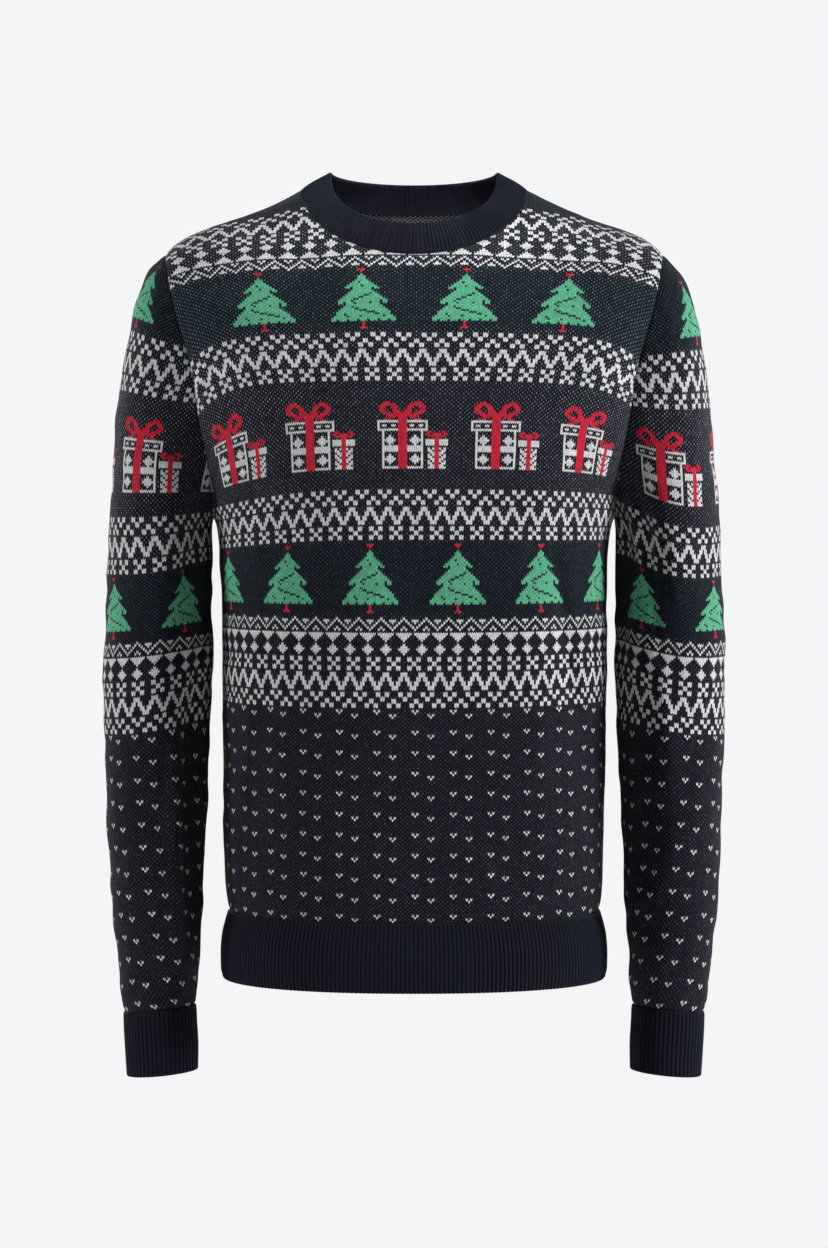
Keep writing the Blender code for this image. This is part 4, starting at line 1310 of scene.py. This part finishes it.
print("ribs:", {name: row[0] for name, row in RIBS.items()})

# %% [markdown]
# ## A little unevenness
# No knitting is perfectly even. A few long, shallow waves of different directions are added along the
# normals, fading out at the seams, so that light wavers over the cloth as it does over the real one.

# %% Waves and stitch numbers of the jacquard pieces
WAVE_COLUMNS = ("length", "slant", "phase", "height")
WAVES = (
    (0.090, 0.35, 0.7, 0.00070),
    (0.061, -0.60, 2.1, 0.00050),
    (0.043, 1.30, 4.0, 0.00040),
    (0.027, -1.10, 1.2, 0.00022),
    (0.017, 0.20, 3.3, 0.00012),
)
WAVE_FADE, BEND_LENGTH, PIECE_SHIFT = 0.020, 3.1, 1.7


def waves(grid, shift):
    total = np.zeros(grid.shape[:2])
    for wave in named(WAVE_COLUMNS, WAVES):
        along = grid[:, :, 0] * np.cos(wave["slant"]) + grid[:, :, 2] * np.sin(wave["slant"])
        bend = np.sin(2 * np.pi * grid[:, :, 2] / (BEND_LENGTH * wave["length"]) + shift)
        total += wave["height"] * np.sin(2 * np.pi * along / wave["length"] + wave["phase"] + shift + bend)
    return total


panel_stitches = {
    "front_panel": (front_wales[:, :-1], front_wales[:, 1:], front_courses),
    "back_panel": (back_wales[:, :-1], back_wales[:, 1:], back_courses),
    "left_sleeve": left_stitches,
    "right_sleeve": right_stitches,
}
for shift, (name, stitches) in enumerate(panel_stitches.items()):
    sheet = sheets[name]
    sheet["from_wales"], sheet["to_wales"], sheet["courses"] = stitches
    sheet["relief"] = waves(sheet["grid"], PIECE_SHIFT * shift)
    sheet["relief"] *= smooth_step(sheet["from_seam"], 0, WAVE_FADE)
    sheet["groove"] = sheet["wall"] * GROOVE_DEPTH * np.exp(-((sheet["from_seam"] / GROOVE_WIDTH) ** 2))
print("jacquard pieces:", list(panel_stitches))

# %% [markdown]
# ## From sheets to walls
# Each piece is one closed mesh: its outer face, a rounded edge where it is free, its inner face, and a strip
# that closes it along the seams. First its points, as one row after another round the wall.

# %% Rings of the wall
RIM_STEPS, RIM_COURSES = 3, 0.5


def wall_rings(sheet):
    """The wall's points as rows: up the outer face, over the free edge if there is one, down the inner."""
    reach = sheet["normals"] * sheet["scale"][:, :, None] * sheet["wall"] / 2
    relief = sheet["normals"] * sheet["relief"][:, :, None]
    sunk = sheet["normals"] * sheet.get("groove", np.zeros(sheet["relief"].shape))[:, :, None]
    outer, inner = sheet["grid"] + reach + relief - sunk, sheet["grid"] - reach + relief
    courses = sheet["courses"]
    rim, rim_courses = [], []
    if sheet["wall"] == RIB_WALL:
        onward = unit(sheet["grid"][-1] - sheet["grid"][-2])
        middle, half = (outer[-1] + inner[-1]) / 2, (outer[-1] - inner[-1]) / 2
        for step in range(1, RIM_STEPS + 1):
            turn = np.pi * step / (RIM_STEPS + 1)
            rim.append(middle + half * np.cos(turn) + onward * np.sin(turn) * sheet["wall"] / 2)
            rim_courses.append(courses[-1] + RIM_COURSES * np.sin(turn))
    rows = np.concatenate([outer, np.array(rim).reshape(-1, *outer.shape[1:]), inner[::-1]])
    rim_courses = np.array(rim_courses).reshape(-1, courses.shape[1])
    return rows, np.concatenate([courses, rim_courses, courses[::-1]])


def wrapped(values, rows):
    """Wale numbers for the wall's rows: those of the sheet, its last row again on the rim, and back."""
    rim = np.repeat(values[-1:], rows - 2 * len(values), axis=0)
    return np.concatenate([values, rim, values[::-1]])


print("a wall with a free edge has", RIM_STEPS, "rows over it")

# %% [markdown]
# ## Where the knitting opens
# The floats behind a jacquard show through it where it is pulled open. How open it is goes into an attribute
# of the mesh, for the flecks to read.

# %% Stretch
# The heights over which the cloth opens, how it opens towards the sides, and where it closes again
STRETCHES, LEAST_STRETCH, MOST_STRETCH = (-0.40, -0.17), 0.20, 0.95
TOWARDS_SIDES, MID_CHEST = (0.05, 0.15), 0.55
SHOULDER_TOP, SHOULDER_EASE = (-0.050, -0.015), 0.75
CAP_SIDES, CAP_HEIGHTS, CAP_EASE = (0.195, 0.215), (-0.20, -0.13), 0.70


def stretch_of(points):
    """How open the knitting is: tight low down, half open at mid-chest, widest towards the armholes and on
    the upper sleeves, and tighter again along the shoulders and on the caps."""
    sideways, height = np.abs(points[:, 0]), points[:, 2]
    up = smooth_step(height, *STRETCHES)
    over_side = MID_CHEST + (1 - MID_CHEST) * smooth_step(sideways, *TOWARDS_SIDES)
    on_shoulder = 1 - SHOULDER_EASE * smooth_step(height, *SHOULDER_TOP)
    on_cap = 1 - CAP_EASE * smooth_step(sideways, *CAP_SIDES) * smooth_step(height, *CAP_HEIGHTS)
    return LEAST_STRETCH + (MOST_STRETCH - LEAST_STRETCH) * up * over_side * on_shoulder * on_cap


chest_middle, chest_side = stretch_of(np.array([[0, 0, ARMPIT], [armpit_half_width, 0, ARMPIT]]))
print("stretch", round(chest_middle, 2), "in the middle of the chest,", round(chest_side, 2), "at its side")

# %% [markdown]
# ## Meshes with stitch numbers
# The stitch numbers go into a UV map, one value for each corner of each face, so that a sleeve's numbers
# may jump where its own seam runs under the arm. The inner face gets the reverse side's material.

# %% Wall meshes
# A tree that the armhole would cut is left out: plain ground ends the top row of trees beside the seams
SHARP_ANGLE, TOP_TREES_FROM, PLAIN_CAP_FROM = math.radians(60), 282.6, 314.6
LAST_WHOLE_TREE = {"front_panel": 78, "back_panel": 78, "left_sleeve": 38, "right_sleeve": 38}


def make_wall(name, materials):
    sheet = sheets[name]
    rings, courses = wall_rings(sheet)
    rows, columns = rings.shape[:2]
    sheet_rows = len(sheet["grid"])
    spans = columns if sheet["closed"] else columns - 1
    from_wales, to_wales = wrapped(sheet["from_wales"], rows), wrapped(sheet["to_wales"], rows)
    i, k = np.meshgrid(np.arange(rows), np.arange(spans), indexing="ij")
    j, m = (i + 1) % rows, (k + 1) % columns
    beside = k + 1
    faces = np.stack([i * columns + k, i * columns + m, j * columns + m, j * columns + k], axis=-1)
    us = np.stack([from_wales[i, k], to_wales[i, k], to_wales[j, k], from_wales[j, k]], axis=-1)
    vs = np.stack([courses[i, k], courses[i, beside], courses[j, beside], courses[j, k]], axis=-1)
    if name in LAST_WHOLE_TREE:
        course, across = vs.mean(axis=-1, keepdims=True), np.abs(us.mean(axis=-1, keepdims=True))
        above = course > PLAIN_CAP_FROM
        cut_tree = (course > TOP_TREES_FROM) & ~above & (across > LAST_WHOLE_TREE[name])
        vs += PAST_ALL_CHARTS * (cut_tree | (above & name.endswith("sleeve")))
    slots = (i >= rows - sheet_rows).astype(int) * (i < rows - 1)
    faces, us, vs, slots = faces.reshape(-1, 4), us.reshape(-1, 4), vs.reshape(-1, 4), slots.reshape(-1)
    if not sheet["closed"]:
        i = np.arange(sheet_rows - 1)
        for k, wales, flip in ((0, from_wales[:, 0], False), (columns - 1, to_wales[:, -1], True)):
            side = np.stack([i, i + 1, rows - 2 - i, rows - 1 - i], axis=-1)
            side = side[:, ::-1] if flip else side
            faces = np.concatenate([faces, side * columns + k])
            us = np.concatenate([us, wales[side]])
            vs = np.concatenate([vs, courses[side, k]])
            slots = np.concatenate([slots, np.zeros(len(side), int)])
    points = rings.reshape(-1, 3)
    a, b, c = (points[faces[:, n]] for n in range(3))
    if np.sum(a * np.cross(b, c)) + np.sum(a * np.cross(c, points[faces[:, 3]])) < 0:
        faces, us, vs = faces[:, ::-1], us[:, ::-1], vs[:, ::-1]
    mesh = bpy.data.meshes.new(name + "_knit")
    mesh.from_pydata(points.tolist(), [], faces.tolist())
    mesh.uv_layers.new(name="stitches").data.foreach_set(
        "uv", np.stack([us, vs], axis=-1).astype(np.float32).ravel()
    )
    for material in materials:
        mesh.materials.append(material)
    mesh.polygons.foreach_set("material_index", slots.astype(np.int32))
    stretch = mesh.attributes.new("stretch", "FLOAT", "POINT")
    stretch.data.foreach_set("value", stretch_of(points).astype(np.float32))
    mesh.shade_smooth()
    mesh.set_sharp_from_angle(angle=SHARP_ANGLE)
    made = bpy.data.objects.new(name + "_knit", mesh)
    bpy.context.scene.collection.objects.link(made)
    print(name, "has", 2 * len(faces), "triangles")
    return made


made = {}
for name, sheet in sheets.items():
    materials = [ribbing] if sheet["wall"] == RIB_WALL else [jacquard, reverse]
    made[name] = make_wall(name, materials)

# %% [markdown]
# ## Each piece on the sweater's body
# Each piece stands for one solid, which is hidden, and rides on the sweater's only body. The table lists its
# cut, the flat size it had on the table, round the whole tube for sleeves and bands, and is not used further.

CUT_COLUMNS = ("width", "length", "area", "slot", "held")
CUTS = {
    "front_panel": (0.485, 0.650, 0.272, "jacquard", "draped"),
    "back_panel": (0.470, 0.660, 0.276, "jacquard", "draped"),
    "left_sleeve": (0.345, 0.655, 0.172, "jacquard", "draped"),
    "right_sleeve": (0.345, 0.655, 0.172, "jacquard", "draped"),
    "neckband": (0.550, 0.033, None, "ribbing", "stretched"),
    "hem_rib": (0.900, 0.058, None, "ribbing", "stretched"),
    "left_cuff": (0.185, 0.056, None, "ribbing", "stretched"),
    "right_cuff": (0.185, 0.056, None, "ribbing", "stretched"),
}
for name, row in CUTS.items():
    cut, piece = dict(zip(CUT_COLUMNS, row)), made[name]
    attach(piece, "root")
    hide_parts(name)
print("declared", len(CUTS), "sheets")

# %% [markdown]
# ## Floor, light and camera
# A pale floor well below the sweater, big soft lights as in a product studio, and a camera far enough away
# for little perspective, straight in front and level with the middle of the garment. The two side lights
# stand level with the body's front, so that the body shades the inner halves of the sleeves. A small lamp
# with a narrow beam looks into the neck. The world is bright only to the camera, as a backdrop is. The
# standard view shows a colour as its hex value says, so that yarn colours need no correction.

# %% Stage
FLOOR_HEIGHT, FLOOR_SIZE = -1.45, 5.0
CAMERA_DISTANCE, CAMERA_HEIGHT, LENS = 3.0, -0.374, 100.0
SKY_ON_CLOTH, SKY_SEEN = 0.04, 1.0

for other in bpy.context.selected_objects:
    other.select_set(False)
bpy.ops.mesh.primitive_plane_add(size=FLOOR_SIZE, location=(0, 0, FLOOR_HEIGHT))
floor = bpy.context.object
floor.name = "floor"

# Emulsion paint, rolled on board: matt and nearly white, which gives the eye an even pale ground
paint = new_material("matt_white_paint")
paint.node_tree.nodes["Principled BSDF"].inputs["Base Color"].default_value = linear("#e6e7e9")
paint.node_tree.nodes["Principled BSDF"].inputs["Roughness"].default_value = 0.8
floor.data.materials.append(paint)

LIGHT_COLUMNS = ("name", "place", "aim", "size", "spread", "power")
LIGHTS = (
    ("left", (-3.0, -1.05, 0.6), (0, 0, -0.35), 0.8, 180, 66),
    ("right", (3.0, -1.1, 0.5), (0, 0, -0.35), 1.0, 180, 118),
    ("front", (-0.6, -3.4, 1.3), (0, 0, -0.35), 1.2, 180, 12),
    ("neck", (0.0, -1.5, 1.2), (0, 0.06, -0.02), 0.2, 14, 0.3),
    ("back_left", (-1.8, 2.6, 0.4), (0, 0, -0.35), 1.6, 180, 52),
    ("back_right", (1.9, 2.4, 0.2), (0, 0, -0.40), 1.6, 180, 40),
)
for light in named(LIGHT_COLUMNS, LIGHTS):
    lamp = bpy.data.lights.new(light["name"], "AREA")
    lamp.shape, lamp.size, lamp.energy = "DISK", light["size"], light["power"]
    lamp.spread = math.radians(light["spread"])
    holder = bpy.data.objects.new(light["name"], lamp)
    place, aim = np.array(light["place"]), np.array(light["aim"])
    holder.location = place
    x, y, z = aim - place
    holder.rotation_euler = (math.pi / 2 + math.atan2(z, math.hypot(x, y)), 0, math.atan2(-x, y))
    bpy.context.scene.collection.objects.link(holder)

bpy.context.scene.view_settings.view_transform = "Standard"
world = bpy.data.worlds.new("studio")
world.use_nodes = True
bpy.context.scene.world = world
sky = world.node_tree
background = sky.nodes["Background"]
background.inputs["Color"].default_value = linear("#f4f5f6")
seen = add(sky, "ShaderNodeLightPath")["Is Camera Ray"]
strength = add(sky, MIX, {0: seen, 2: SKY_ON_CLOTH, 3: SKY_SEEN}, data_type="FLOAT")[0]
sky.links.new(strength, background.inputs["Strength"])

lens = bpy.data.cameras.new("camera")
lens.lens = LENS
camera = bpy.data.objects.new("camera", lens)
camera.location = (0, -CAMERA_DISTANCE, CAMERA_HEIGHT)
camera.rotation_euler = (math.pi / 2, 0, 0)
bpy.context.scene.collection.objects.link(camera)
bpy.context.scene.camera = camera
print("camera", CAMERA_DISTANCE, "m away")
